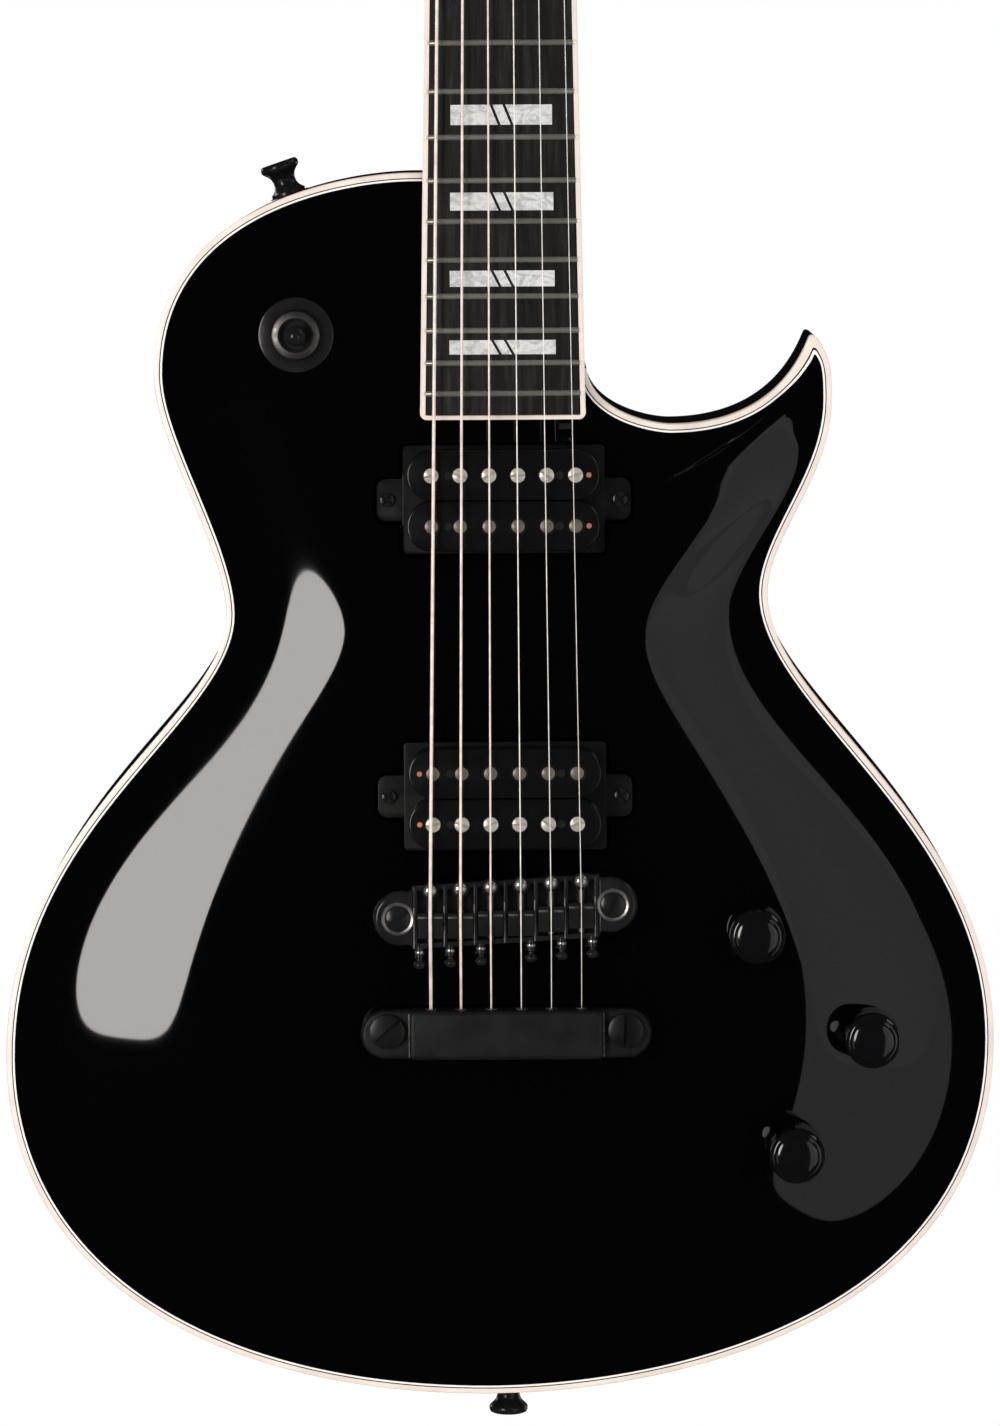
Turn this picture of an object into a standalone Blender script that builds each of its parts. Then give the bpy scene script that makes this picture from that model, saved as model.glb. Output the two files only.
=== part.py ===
"""Single-cut electric guitar: carved solid body, set neck, two double-coil pickups, adjustable bridge and stop bar.

Tables are in millimetres and the scene is in metres. +Z runs up the neck, the face looks towards -Y, and +X is the
treble side. The origin is the middle of the nut, on the glue line between neck and fretboard.
"""

from math import atan2, cos, degrees, hypot, pi, radians, sin, tan

import bmesh
import bpy
from mathutils import Matrix, Vector
from mathutils.geometry import interpolate_bezier

MM = 0.001
STEPS_ROUND = 12  # facets of a turned piece
SHARP = radians(40)

# Neck and strings
SCALE_LENGTH = 628.65
FRET_COUNT = 22
NECK_ANGLE = 3.0  # degrees that the neck leans back from the body's rim plane
HEAD_ANGLE = 15.0  # degrees more that the headstock leans back
NUT_HALF, BOARD_END_HALF = 21.0, 28.5
BOARD_LENGTH, BOARD_THICK, BOARD_RADIUS = 461.3, 6.0, 305.0
BOARD_BINDING, END_BINDING = 1.1, 1.6
FRET_HEIGHT, FRET_WIDTH = 1.1, 2.6
NUT_LENGTH, NUT_TOP = 4.5, 6.6
STRING_RADII = (0.584, 0.457, 0.330, 0.216, 0.165, 0.127)
STRING_AT_NUT = 7.6  # height over the glue line
NUT_PITCH, BRIDGE_PITCH = 7.0, 10.4

# Body: heights are over the rim plane, that is the front of the edge binding
BRIDGE_Z = -627.2
RIM_Y = -17.5
CAP_BOTTOM, BODY_BACK = -10.0, -50.0
BINDING_WIDE, BINDING_TALL = 3.1, 6.5
PLATEAU_HIGH, PLATEAU_TILT = 10.5, 1.44
JOINT_GAP = 0.15
HEEL_DEPTH = 38.0
HEEL_EXPONENT = 7.0

# Outline of the body, clockwise as seen: x, z from the bridge line, heading, handles in and out, points per half span
OUTLINE = (
    (-6.4, -175.5, 180, 53.8, 94.1, 6),
    (-174.4, -56.5, 90, 77.6, 84.7, 5),
    (-96.3, 99.2, 90, 36.7, 23.1, 3),
    (-120.6, 182.2, 90, 22.9, 57.1, 5),
    (-30.0, 251.5, 0, 28.1, 0.0, 1),
    (23.5, 251.5, 0, 0.0, 0.0, 1),
    (25.0, 183.6, 0, 0.0, 0.0, 1),
    (29.0, 183.6, -84, 0.0, 15.2, 3),
    (58.4, 164.2, 0, 6.7, 30.7, 4),
    (105.8, 193.8, 68, 13.6, 2.0, 2),
    (109.4, 192.7, -60, 2.0, 7.0, 2),
    (113.7, 172.8, -90, 11.0, 26.1, 3),
    (91.4, 107.5, -95, 19.3, 39.4, 5),
    (169.8, -50.7, -90, 78.4, 105.6, 6),
)
HORN_TIP = 9  # the short span round the tip of the horn stays whole
# Where the inner edge of the binding doesn't lie one binding width in from a knot above
INNER_CORNERS = {(23.5, 251.5): (20.4, 248.4), (25.0, 183.6): (21.9, 181.0), (105.8, 193.8): (107.6, 187.4),
                 (109.4, 192.7): (108.3, 187.3)}
# Edge of the flat plateau that carries the pickups and the bridge, knot for knot
PLATEAU = (
    (-3.0, -112.0, 180, 30.0, 45.0),
    (-92.0, -46.0, 90, 40.0, 50.0),
    (-36.0, 92.0, 84, 30.0, 24.0),
    (-56.0, 178.0, 80, 24.0, 22.0),
    (-29.0, 214.0, 0, 12.0, 0.0),
    (16.0, 214.0, 0, 0.0, 0.0),
    (18.0, 156.0, 0, 0.0, 0.0),
    (23.0, 156.0, -84, 0.0, 6.0),
    (42.0, 136.0, -10, 8.0, 8.0),
    (68.0, 126.0, -20, 6.0, 1.5),
    (70.0, 124.0, -70, 1.5, 4.0),
    (67.0, 112.0, -108, 5.0, 12.0),
    (38.0, 84.0, -95, 16.0, 30.0),
    (88.0, -44.0, -90, 50.0, 45.0),
)
CARVE = (0.0, 0.2, 0.4, 0.6, 0.8, 1.0)  # rings between rim and plateau

# Hardware: x and z from the bridge line
NECK_PICKUP_Z, BRIDGE_PICKUP_Z = 138.9, 36.4
NECK_PICKUP_HIGH, BRIDGE_PICKUP_HIGH = 7.4, 10.9  # bobbin tops over the plateau
POLE_PITCH_Z = 17.5
BOBBIN_LONG, BOBBIN_WIDE, BOBBIN_TALL = 66.6, 17.3, 10.4
PLATE_HALF_X, PLATE_HALF_Z, TAB_HALF_X, TAB_HALF_Z = 35.0, 18.8, 44.0, 7.4
BREAK_Z = (-3.9, -3.9, -3.2, -3.1, -1.8, -0.6)
BREAK_HIGH = 15.5  # string centres over the plateau at the saddles
BRIDGE_STUDS = ((-37.2, -4.7), (36.9, -0.3))
TAIL_STUDS = ((-41.1, -43.8), (41.1, -43.8))
TAIL_Z, TAIL_HALF_X, TAIL_HALF_Z = -45.1, 50.2, 8.6
TAIL_STRING_HIGH = 8.0
KNOBS = ((86.4, -11.0, 10.8), (126.4, -47.8, 8.1), (100.0, -87.3, 10.9))  # with the top's height beside each
KNOB_RADIUS, KNOB_TALL = 9.7, 17.0
SWITCH = (-71.1, 196.1, 4.8)
CONTROL_CAVITY = ((62, -6), (74, 14), (100, 14), (122, -8), (146, -26), (152, -52), (142, -80), (122, -106),
                  (98, -114), (76, -106), (68, -78), (64, -40))
SWITCH_CAVITY_RADIUS = 19.0
COVER_RIM, COVER_THICK = 5.0, 2.4
JACK_Z, JACK_HIGH, JACK_X = -62.0, -30.0, 166.2
STRAP_BUTTONS = (("upper", -74.0, 243.5, 18.9, -25.0), ("lower", 0.0, -175.4, 180.0, -25.0))

# Headstock, in its own frame: z up from the nut's upper edge
POSTS = ((-21.0, 42.0), (-19.5, 84.0), (-18.0, 126.0), (18.0, 126.0), (19.5, 84.0), (21.0, 42.0))
POST_RADIUS = 3.0
HEAD_THICK = 14.0
HEAD_SECTIONS = ((2.0, 21.8), (8.0, 25.0), (15.0, 31.5), (23.0, 35.5), (40.0, 36.5), (90.0, 38.5), (140.0, 41.5),
                 (162.0, 43.0), (174.0, 42.0), (182.0, 38.0), (187.0, 30.0), (190.0, 18.0))

for old in list(bpy.data.objects):
    bpy.data.objects.remove(old, do_unlink=True)
part = bpy.data.collections.new("guitar")
cutters = bpy.data.collections.new("cutters")
cutters.hide_render = True
for group in (part, cutters):
    bpy.context.scene.collection.children.link(group)


# ---- Materials ----
def material(name, colour, roughness, metallic=0.0):
    new = bpy.data.materials.new(name)
    new.use_nodes = True
    shader = new.node_tree.nodes["Principled BSDF"]
    shader.inputs["Base Color"].default_value = (*colour, 1.0)
    shader.inputs["Roughness"].default_value = roughness
    shader.inputs["Metallic"].default_value = metallic
    return new


LOOKS = {
    "lacquer": ((0.01, 0.01, 0.011), 0.08, 0.0),
    "cream": ((0.86, 0.8, 0.7), 0.3, 0.0),
    "ebony": ((0.03, 0.024, 0.02), 0.5, 0.0),
    "bone": ((0.85, 0.82, 0.74), 0.4, 0.0),
    "black_metal": ((0.03, 0.03, 0.032), 0.3, 1.0),
    "black_plastic": ((0.02, 0.02, 0.02), 0.35, 0.0),
    "steel": ((0.6, 0.6, 0.6), 0.3, 1.0),
    "string": ((0.72, 0.68, 0.62), 0.25, 1.0),
}


# ---- Placing and shaping ----
def frame(name, x, y, z, tilt, parent=None):
    """An empty that leans back by tilt degrees about X."""
    empty = bpy.data.objects.new(name, None)
    part.objects.link(empty)
    empty.parent = parent
    empty.location = (x * MM, y * MM, z * MM)
    empty.rotation_euler = (radians(-tilt), 0, 0)
    empty.empty_display_size = 0.02
    return empty


def put(name, mesh, look, parent=None, at=(0, 0, 0), turn=(0, 0, 0)):
    """Link one named piece, or a cutter where look is None."""
    piece = bpy.data.objects.new(name, mesh)
    piece.parent = parent
    piece.location = [value * MM for value in at]
    piece.rotation_euler = [radians(value) for value in turn]
    if look is None:
        cutters.objects.link(piece)
        piece.display_type = "WIRE"
        piece.hide_render = True
    else:
        part.objects.link(piece)
        mesh.shade_smooth()
        mesh.set_sharp_from_angle(angle=SHARP)
        mesh.materials.clear()
        mesh.materials.append(material(name, *LOOKS[look]))
    return piece


def loft(name, rings):
    """Skin through rings of points, with a cap at each end."""
    made = bmesh.new()
    rows = [[made.verts.new([value * MM for value in point]) for point in ring] for ring in rings]
    for lower, upper in zip(rows, rows[1:]):
        for i in range(len(lower)):
            j = (i + 1) % len(lower)
            made.faces.new((lower[i], lower[j], upper[j], upper[i]))
    for cap in (rows[0], rows[-1]):
        made.faces.new(cap)
    bmesh.ops.recalc_face_normals(made, faces=made.faces)
    return finished(name, made)


def finished(name, made):
    mesh = bpy.data.meshes.new(name)
    made.to_mesh(mesh)
    made.free()
    return mesh


def block(name, low, high, bevel=0.0):
    """Box between two corners, with its edges rounded."""
    made = bmesh.new()
    bmesh.ops.create_cube(made, size=1.0)
    size = [(b - a) * MM for a, b in zip(low, high)]
    middle = [(a + b) / 2 * MM for a, b in zip(low, high)]
    bmesh.ops.scale(made, vec=size, verts=made.verts)
    bmesh.ops.translate(made, vec=middle, verts=made.verts)
    if bevel:
        bmesh.ops.bevel(made, geom=made.edges[:], offset=bevel * MM, segments=2, affect="EDGES", profile=0.5)
    return finished(name, made)


def plate(name, outline, front, back):
    """Flat piece from an outline of (x, z), between two heights measured towards the viewer."""
    curve = bpy.data.curves.new(name, "CURVE")
    curve.dimensions = "2D"
    curve.fill_mode = "BOTH"
    curve.extrude = (front - back) / 2 * MM
    spline = curve.splines.new("POLY")
    spline.points.add(len(outline) - 1)
    for point, (x, z) in zip(spline.points, outline):
        point.co = (x * MM, z * MM, 0, 1)
    spline.use_cyclic_u = True
    mesh = meshed(name, curve)
    mesh.transform(Matrix.Translation((0, -(front + back) / 2 * MM, 0)) @ Matrix.Rotation(pi / 2, 4, "X"))
    return mesh


def evaluated(holder):
    """The finished mesh of a temporary object, which is then removed."""
    graph = bpy.context.evaluated_depsgraph_get()
    mesh = bpy.data.meshes.new_from_object(holder.evaluated_get(graph))
    bpy.data.objects.remove(holder)
    return mesh


def meshed(name, curve):
    """The mesh of a curve, with its caps welded on."""
    holder = bpy.data.objects.new(name, curve)
    part.objects.link(holder)
    mesh = evaluated(holder)
    made = bmesh.new()
    made.from_mesh(mesh)
    bmesh.ops.remove_doubles(made, verts=made.verts, dist=1e-6)
    bmesh.ops.recalc_face_normals(made, faces=made.faces)
    made.to_mesh(mesh)
    made.free()
    return mesh


def wire(name, points, radius, sides=0):
    curve = bpy.data.curves.new(name, "CURVE")
    curve.dimensions = "3D"
    curve.bevel_depth = radius * MM
    curve.bevel_resolution = sides
    curve.use_fill_caps = True
    spline = curve.splines.new("POLY")
    spline.points.add(len(points) - 1)
    for point, place in zip(spline.points, points):
        point.co = (*[value * MM for value in place], 1)
    return meshed(name, curve)


def turned(name, profile, look, parent=None, at=(0, 0, 0), turn=(90, 0, 0), steps=STEPS_ROUND):
    """Turned piece: profile of (radius, height) from the top down its outer side; its height points to the viewer."""
    mesh = bpy.data.meshes.new(name)
    mesh.from_pydata([(r * MM, 0, h * MM) for r, h in profile], [(i, i + 1) for i in range(len(profile) - 1)], [])
    holder = bpy.data.objects.new(name, mesh)
    part.objects.link(holder)
    screw = holder.modifiers.new("Screw", "SCREW")
    screw.steps = screw.render_steps = steps
    screw.use_merge_vertices = True
    screw.merge_threshold = 1e-5
    return put(name, evaluated(holder), look, parent, at, turn)


def cylinder(name, radius, low, high, parent=None, at=(0, 0, 0), turn=(90, 0, 0), steps=STEPS_ROUND):
    """Round cutter between two heights."""
    return turned(name, ((0, high), (radius, high), (radius, low), (0, low)), None, parent, at, turn, steps)


def combine(piece, other, how="DIFFERENCE"):
    step = piece.modifiers.new(other.name, "BOOLEAN")
    step.operation = how
    step.solver = "EXACT"
    step.object = other


def body(x, high, z):
    """Scene position, in millimetres, of a point at a height over the rim plane and z from the bridge line."""
    return (x, RIM_Y - high, BRIDGE_Z + z)


# ---- Body outlines: knots of (x, z, heading, handle in, handle out, points to the next) ----
def halved(knots):
    """The same outline, with each span split in two."""
    fine = []
    enter = knots[0][3] / 2
    for i, (x, z, heading, _enter, leave, count) in enumerate(knots):
        x2, z2, heading2, enter2 = knots[(i + 1) % len(knots)][:4]
        a, b = radians(heading), radians(heading2)
        if leave == enter2 == 0.0:
            fine.append((x, z, heading, enter, 0.0, count))
            enter = 0.0
            continue
        one, two = Vector((x, z)), Vector((x2, z2))
        out, back = one + leave * Vector((cos(a), sin(a))), two - enter2 * Vector((cos(b), sin(b)))
        left, right = (one + 2 * out + back) / 4, (out + 2 * back + two) / 4
        half = (left + right) / 2
        way = right - half
        if i == HORN_TIP:
            fine.append((x, z, heading, enter, leave, count))
            enter = enter2
            continue
        fine.append((x, z, heading, enter, leave / 2, count))
        fine.append((half.x, half.y, degrees(atan2(way.y, way.x)), way.length, way.length, count))
        enter = enter2 / 2
    return fine


def inset(knots, distance):
    """Knots moved inwards, with their handles shortened or lengthened as the spans between them."""
    moved = []
    for x, z, heading, *_rest in knots:
        a = radians(heading)
        inner_x, inner_z = INNER_CORNERS.get((x, z), (x + BINDING_WIDE * sin(a), z - BINDING_WIDE * cos(a)))
        part_way = distance / BINDING_WIDE
        moved.append((x + part_way * (inner_x - x), z + part_way * (inner_z - z)))
    ratios = []
    for i, (x, z) in enumerate(moved):
        x2, z2 = moved[(i + 1) % len(moved)]
        was, was2 = knots[i], knots[(i + 1) % len(knots)]
        ratios.append(hypot(x2 - x, z2 - z) / hypot(was2[0] - was[0], was2[1] - was[1]))
    return [
        (x, z, knots[i][2], knots[i][3] * ratios[i - 1], knots[i][4] * ratios[i], knots[i][5])
        for i, (x, z) in enumerate(moved)
    ]


def sampled(knots):
    """Points (x, z) round a closed outline."""
    points = []
    for i, (x, z, heading, _enter, leave, count) in enumerate(knots):
        x2, z2, heading2, enter2 = knots[(i + 1) % len(knots)][:4]
        a, b = radians(heading), radians(heading2)
        if leave == enter2 == 0.0:
            points.append((x, z))
            continue
        handle = (x + leave * cos(a), z + leave * sin(a), 0)
        handle2 = (x2 - enter2 * cos(b), z2 - enter2 * sin(b), 0)
        points += [(p[0], p[1]) for p in interpolate_bezier((x, z, 0), handle, handle2, (x2, z2, 0), count + 1)[:-1]]
    return points


def between(first, second, part_way):
    return [(a + (c - a) * part_way, b + (d - b) * part_way) for (a, b), (c, d) in zip(first, second)]


def level(points, high):
    return [body(x, high, z) for x, z in points]


def carve_height(part_way, z):
    """Height of the carved top: flat at the rim, steepest half way, flat again at the plateau."""
    return (PLATEAU_HIGH - tan(radians(PLATEAU_TILT)) * z) * part_way**2 * (3 - 2 * part_way)


outline = halved(OUTLINE)
edge = sampled(outline)
inner = sampled(inset(outline, BINDING_WIDE))
seat = sampled(inset(outline, BINDING_WIDE + JOINT_GAP))
plateau = sampled(halved([(*knot, OUTLINE[i][5]) for i, knot in enumerate(PLATEAU)]))

neck_frame = frame("neck_frame", 0, 0, 0, NECK_ANGLE)
head_frame = frame("head_frame", 0, 0, NUT_LENGTH + 0.5, HEAD_ANGLE, neck_frame)
deck_frame = frame("deck_frame", *body(0, PLATEAU_HIGH, 0), PLATEAU_TILT)


def board_half(distance):
    return NUT_HALF + (BOARD_END_HALF - NUT_HALF) * distance / BOARD_LENGTH


# ---- Neck: sections of (distance below the nut, half width, depth, squareness) ----
def section(half, deep, square, z, points=13):
    """One section of the neck: flat front and rounded back."""
    ring = []
    for i in range(points):
        a = pi * i / (points - 1)
        x = -half * (abs(cos(a)) ** (2 / square)) * (1 if cos(a) >= 0 else -1)
        ring.append((x, deep * abs(sin(a)) ** (2 / square), z))
    return ring


NECK_SECTIONS = (
    (BOARD_LENGTH - 2.0, HEEL_DEPTH, HEEL_EXPONENT),
    (380.0, HEEL_DEPTH, HEEL_EXPONENT),
    (372.0, 34.0, 5.0),
    (363.0, 25.0, 3.6),
    (352.0, 19.5, 2.8),
    (335.0, 17.6, 2.4),
    (200.0, 16.2, 2.2),
    (60.0, 15.0, 2.2),
    (8.0, 15.0, 2.3),
    (-1.0, 15.6, 2.5),
)
rings = [section(board_half(d), deep, square, -d) for d, deep, square in NECK_SECTIONS]
for z, half in HEAD_SECTIONS:
    a, low = radians(HEAD_ANGLE), NUT_LENGTH + 0.5
    lean = a * min(1.0, z / 15.0)
    deep = HEAD_THICK + 3.0 * max(0.0, 1 - z / 20.0)
    ring = section(half, deep, 2.6 + min(1.0, z / 23.0) * 6.0, 0.0)
    rings.append([(x, y * cos(lean) + z * sin(a), low + z * cos(a) - y * sin(lean)) for x, y, _z in ring])
neck = put("neck", loft("neck", rings), "lacquer", neck_frame)

pocket_rings = []
for d in (BOARD_LENGTH - 2.0 + JOINT_GAP, 345.0):
    half, deep = board_half(d) + JOINT_GAP, HEEL_DEPTH + JOINT_GAP
    ring = section(half, deep, HEEL_EXPONENT, -d)
    pocket_rings.append([(-half, -30.0, -d), *ring, (half, -30.0, -d)])
neck_pocket = put("neck_pocket", loft("neck_pocket", pocket_rings), None, neck_frame)
half = BOARD_END_HALF + 0.3
clearance = block("board_clearance", (-half, -30.0, -BOARD_LENGTH - 0.3), (half, -0.1, -BOARD_LENGTH + 12.0))
board_clearance = put("board_clearance", clearance, None, neck_frame)

# ---- Body: back with its cavities, carved cap, edge binding ----
back_rings = [
    level(edge, CAP_BOTTOM - JOINT_GAP),
    level(edge, BODY_BACK + 3.5),
    level(between(edge, inner, 0.3), BODY_BACK + 1.1),
    level(between(edge, inner, 1.0), BODY_BACK),
]
body_back = put("body_back", loft("body_back", back_rings), "lacquer")
cap_rings = [
    level(edge, CAP_BOTTOM),
    level(edge, -BINDING_TALL - JOINT_GAP),
    level(seat, -BINDING_TALL - JOINT_GAP),
]
for part_way in CARVE:
    ring = between(seat, plateau, part_way)
    cap_rings.append([body(x, carve_height(part_way, z), z) for x, z in ring])
body_top = put("body_top", loft("body_top", cap_rings), "lacquer")

corner_x, corner_z = OUTLINE[7][:2]
first = min(range(len(edge)), key=lambda i: hypot(edge[i][0] - corner_x, edge[i][1] - corner_z))
hoop = []
for i in range(first, first + len(edge) - 1):
    (x, z), (x2, z2) = edge[i % len(edge)], inner[i % len(edge)]
    hoop.append([
        body(x, -BINDING_TALL, z),
        body(x, -0.6, z),
        body((3 * x + x2) / 4, 0.0, (3 * z + z2) / 4),
        body(x2, 0.0, z2),
        body(x2, -BINDING_TALL, z2),
    ])
body_binding = put("body_binding", loft("body_binding", hoop), "cream")
jack_at = body(JACK_X, JACK_HIGH, JACK_Z)
combine(body_back, put("jack_recess", block("recess", (0, -16.2, -16.2), (20, 16.2, 16.2)), None, None, jack_at))
for piece in (body_back, body_top, body_binding):
    combine(piece, neck_pocket)
combine(body_top, board_clearance)


def pickup_outline(grow):
    """Base plate with a lug at each end."""
    x, z, tab_x, tab_z = PLATE_HALF_X + grow, PLATE_HALF_Z + grow, TAB_HALF_X + grow, TAB_HALF_Z + grow
    quarter = ((x - 2.5, z), (x, z - 2.5), (x, tab_z), (tab_x - 1.5, tab_z), (tab_x, tab_z - 1.5))
    ring = list(quarter)
    ring += [(a, -b) for a, b in reversed(quarter)]
    ring += [(-a, -b) for a, b in quarter]
    ring += [(-a, b) for a, b in reversed(quarter)]
    return ring


def stadium(half_x, half_z, steps=8):
    """Long outline with round ends."""
    ring = []
    for side, start in ((1, 90), (-1, 270)):
        for i in range(steps + 1):
            a = radians(start - 180 * i / steps)
            ring.append((side * (half_x - half_z) + half_z * cos(a), half_z * sin(a)))
    return ring


for name, z, high in (("neck", NECK_PICKUP_Z, NECK_PICKUP_HIGH), ("bridge", BRIDGE_PICKUP_Z, BRIDGE_PICKUP_HIGH)):
    at = (0, 0, z)
    well = block("well", (-PLATE_HALF_X - 1.2, -12, -PLATE_HALF_Z - 1.2), (PLATE_HALF_X + 1.2, 22, PLATE_HALF_Z + 1.2))
    lugs = block("lugs", (-TAB_HALF_X - 1.2, -13, -TAB_HALF_Z - 1.2), (TAB_HALF_X + 1.2, 16, TAB_HALF_Z + 1.2))
    for kind, shape in (("well", well), ("lugs", lugs)):
        cavity = put(f"{name}_pickup_{kind}", shape, None, deck_frame, at)
        combine(body_top, cavity)
        combine(body_back, cavity)
    base = high - BOBBIN_TALL - 0.2
    put(f"{name}_pickup_baseplate", plate("baseplate", pickup_outline(0), base, base - 1.4), "black_metal",
        deck_frame, at)
    screw_side = 1 if name == "neck" else -1
    for kind, side in (("screw", screw_side), ("slug", -screw_side)):
        shape = plate("bobbin", stadium(BOBBIN_LONG / 2, BOBBIN_WIDE / 2), high, high - BOBBIN_TALL)
        put(f"{name}_pickup_{kind}_bobbin", shape, "black_plastic", deck_frame, (0, 0, z + side * POLE_PITCH_Z / 2))

# ---- Bridge: slanted bar with a pocket for each saddle, on two threaded posts ----
slant = (BRIDGE_STUDS[1][1] - BRIDGE_STUDS[0][1]) / (BRIDGE_STUDS[1][0] - BRIDGE_STUDS[0][0])
middle = (BRIDGE_STUDS[0][1] + BRIDGE_STUDS[1][1]) / 2


def stud_line(x):
    return middle + slant * x


bar = []
for i in range(9):
    a = radians(70 - 140 * i / 8)
    bar.append((BRIDGE_STUDS[1][0] - 1.0 + 9.5 * cos(a), BRIDGE_STUDS[1][1] + 9.5 * sin(a)))
bar += [(32.0, stud_line(32) - 11.0), (-33.5, stud_line(-33.5) - 11.0)]
for i in range(9):
    a = radians(250 - 140 * i / 8)
    bar.append((BRIDGE_STUDS[0][0] + 1.0 + 9.5 * cos(a), BRIDGE_STUDS[0][1] + 9.5 * sin(a)))
bar += [(-33.5, stud_line(-33.5) + 11.0), (32.0, stud_line(32) + 11.0)]
BAR_TOP, BAR_BOTTOM, BAR_FLOOR = 12.2, 6.6, 8.4
bridge = put("bridge_body", plate("bridge_body", bar, BAR_TOP, BAR_BOTTOM), "black_metal", deck_frame)
string_x = [(i - 2.5) * BRIDGE_PITCH for i in range(6)]
SADDLE_HALF, SADDLE_FRONT, SADDLE_REAR = 4.4, 1.2, 7.6
for i, x in enumerate(string_x):
    z = stud_line(x)
    slot = put(f"saddle_slot_{i + 1}", block("slot", (x - 4.6, -20.0, z - 9.1), (x + 4.6, -BAR_FLOOR, z + 9.1)), None,
               deck_frame)
    combine(bridge, slot)
    side = ((SADDLE_FRONT, 8.7), (SADDLE_FRONT, 14.0), (0.2, 14.5), (-0.8, 14.4), (-SADDLE_REAR, 12.4),
            (-SADDLE_REAR, 8.7))
    top = BREAK_HIGH - STRING_RADII[i] - 0.35 - 14.5
    rings = [[(dx, -h - (top if h > 9 else 0), dz) for dz, h in side] for dx in (-SADDLE_HALF, SADDLE_HALF)]
    put(f"saddle_{i + 1}", loft("saddle", rings), "black_metal", deck_frame, (x, 0, BREAK_Z[i]))
for side, (x, z) in zip(("bass", "treble"), BRIDGE_STUDS):
    hole = cylinder(f"bridge_post_hole_{side}", 4.75, 0.0, 20.0, deck_frame, (x, 0, z))
    combine(bridge, hole)
    well = cylinder(f"bridge_post_well_{side}", 4.1, -30.0, 5.0, deck_frame, (x, 0, z))
    combine(body_top, well)
    combine(body_back, well)
    profile = ((0, 12.6), (3.8, 12.6), (4.4, 12.2), (4.4, 6.2), (6.4, 6.2), (6.4, 4.0), (3.9, 4.0), (3.9, -26.0),
               (3.2, -27.0), (0, -27.0))
    turned(f"bridge_post_{side}", profile, "black_metal", deck_frame, (x, 0, z))

# ---- Stop bar: thin ears that the studs hold, and a thick middle bored for the strings ----
EAR_TOP, EAR_BOTTOM, TAIL_TOP = 10.0, 4.0, 14.4
tail = put("tailpiece", plate("tailpiece", stadium(TAIL_HALF_X, TAIL_HALF_Z), EAR_TOP, EAR_BOTTOM), "black_metal",
           deck_frame, (0, 0, TAIL_Z))
hump = put("tail_hump", block("hump", (-33.6, -TAIL_TOP, -TAIL_HALF_Z + 0.1), (33.6, -EAR_BOTTOM - 0.3,
           TAIL_HALF_Z - 0.1), 1.4), None, deck_frame, (0, 0, TAIL_Z))
combine(tail, hump, "UNION")
for i, x in enumerate(string_x):
    bore = cylinder(f"tail_bore_{i + 1}", 1.5, -12.0, 12.0, deck_frame, (x, -TAIL_STRING_HIGH, TAIL_Z), (0, 0, 0), 10)
    combine(tail, bore)
for side, (x, z) in zip(("bass", "treble"), TAIL_STUDS):
    notch = put(f"tail_notch_{side}", block("notch", (x - 4.2, -11.0, z - 4.2), (x + 4.2, -3.0, z + 12.0)), None,
                deck_frame)
    combine(tail, notch)
    well = cylinder(f"tail_stud_well_{side}", 5.1, -30.0, 5.0, deck_frame, (x, 0, z))
    combine(body_top, well)
    combine(body_back, well)
    profile = ((0, 13.2), (5.4, 13.2), (6.0, 12.6), (6.0, 10.4), (3.9, 10.4), (3.9, 3.7), (6.2, 3.7), (6.2, 1.8),
               (4.9, 1.8), (4.9, -24.0), (4.2, -25.0), (0, -25.0))
    turned(f"tailpiece_stud_{side}", profile, "black_metal", deck_frame, (x, 0, z))

# ---- Controls: three potentiometers with domed knobs, and a three-way toggle switch ----
cavity = put("control_cavity", plate("control_cavity", CONTROL_CAVITY, 5.0, -60.0), None, None, body(0, 0, 0))
combine(body_back, cavity)
centre_x = sum(x for x, _z in CONTROL_CAVITY) / len(CONTROL_CAVITY)
centre_z = sum(z for _x, z in CONTROL_CAVITY) / len(CONTROL_CAVITY)


def grown(outline, by):
    """Outline pushed out from its middle."""
    ring = []
    for x, z in outline:
        dx, dz = x - centre_x, z - centre_z
        k = 1 + by / (dx * dx + dz * dz) ** 0.5
        ring.append((centre_x + dx * k, centre_z + dz * k))
    return ring


recess = put("control_recess", plate("control_recess", grown(CONTROL_CAVITY, COVER_RIM), BODY_BACK + COVER_THICK + 0.1,
             BODY_BACK - 5.0), None, None, body(0, 0, 0))
combine(body_back, recess)
put("control_cover", plate("control_cover", grown(CONTROL_CAVITY, COVER_RIM - 0.2), BODY_BACK + COVER_THICK,
    BODY_BACK + 0.1), "black_plastic", None, body(0, 0, 0))
for i, (x, z, top) in enumerate(KNOBS, 1):
    at = body(x, 0, z)
    combine(body_top, cylinder(f"pot_hole_{i}", 4.8, -15.0, 15.0, None, at))
    high = top + 4.1
    pot = ((3.1, high), (4.5, high), (4.5, top + 1.9), (6.4, top + 1.9), (6.4, top + 0.1), (4.5, top + 0.1),
           (4.5, -10.6), (12.0, -10.6), (12.0, -20.0), (0, -20.0), (0, -18.5), (3.1, -18.5), (3.1, high))
    turned(f"pot_{i}", pot, "steel", None, at)
    base = top + 0.7
    crown = base + KNOB_TALL
    knob = ((0, crown), (3.6, crown - 0.25), (6.4, crown - 1.1), (8.4, crown - 2.6), (9.4, crown - 4.6),
            (KNOB_RADIUS, crown - 7.0), (KNOB_RADIUS, base), (8.0, base), (8.0, base + 4.6), (2.8, base + 4.6),
            (2.8, -17.0), (0, -17.0))
    turned(f"knob_{i}", knob, "black_plastic", None, at)
x, z, top = SWITCH
at = body(x, 0, z)
combine(body_top, cylinder("switch_hole", 6.3, -15.0, 15.0, None, at))
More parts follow.
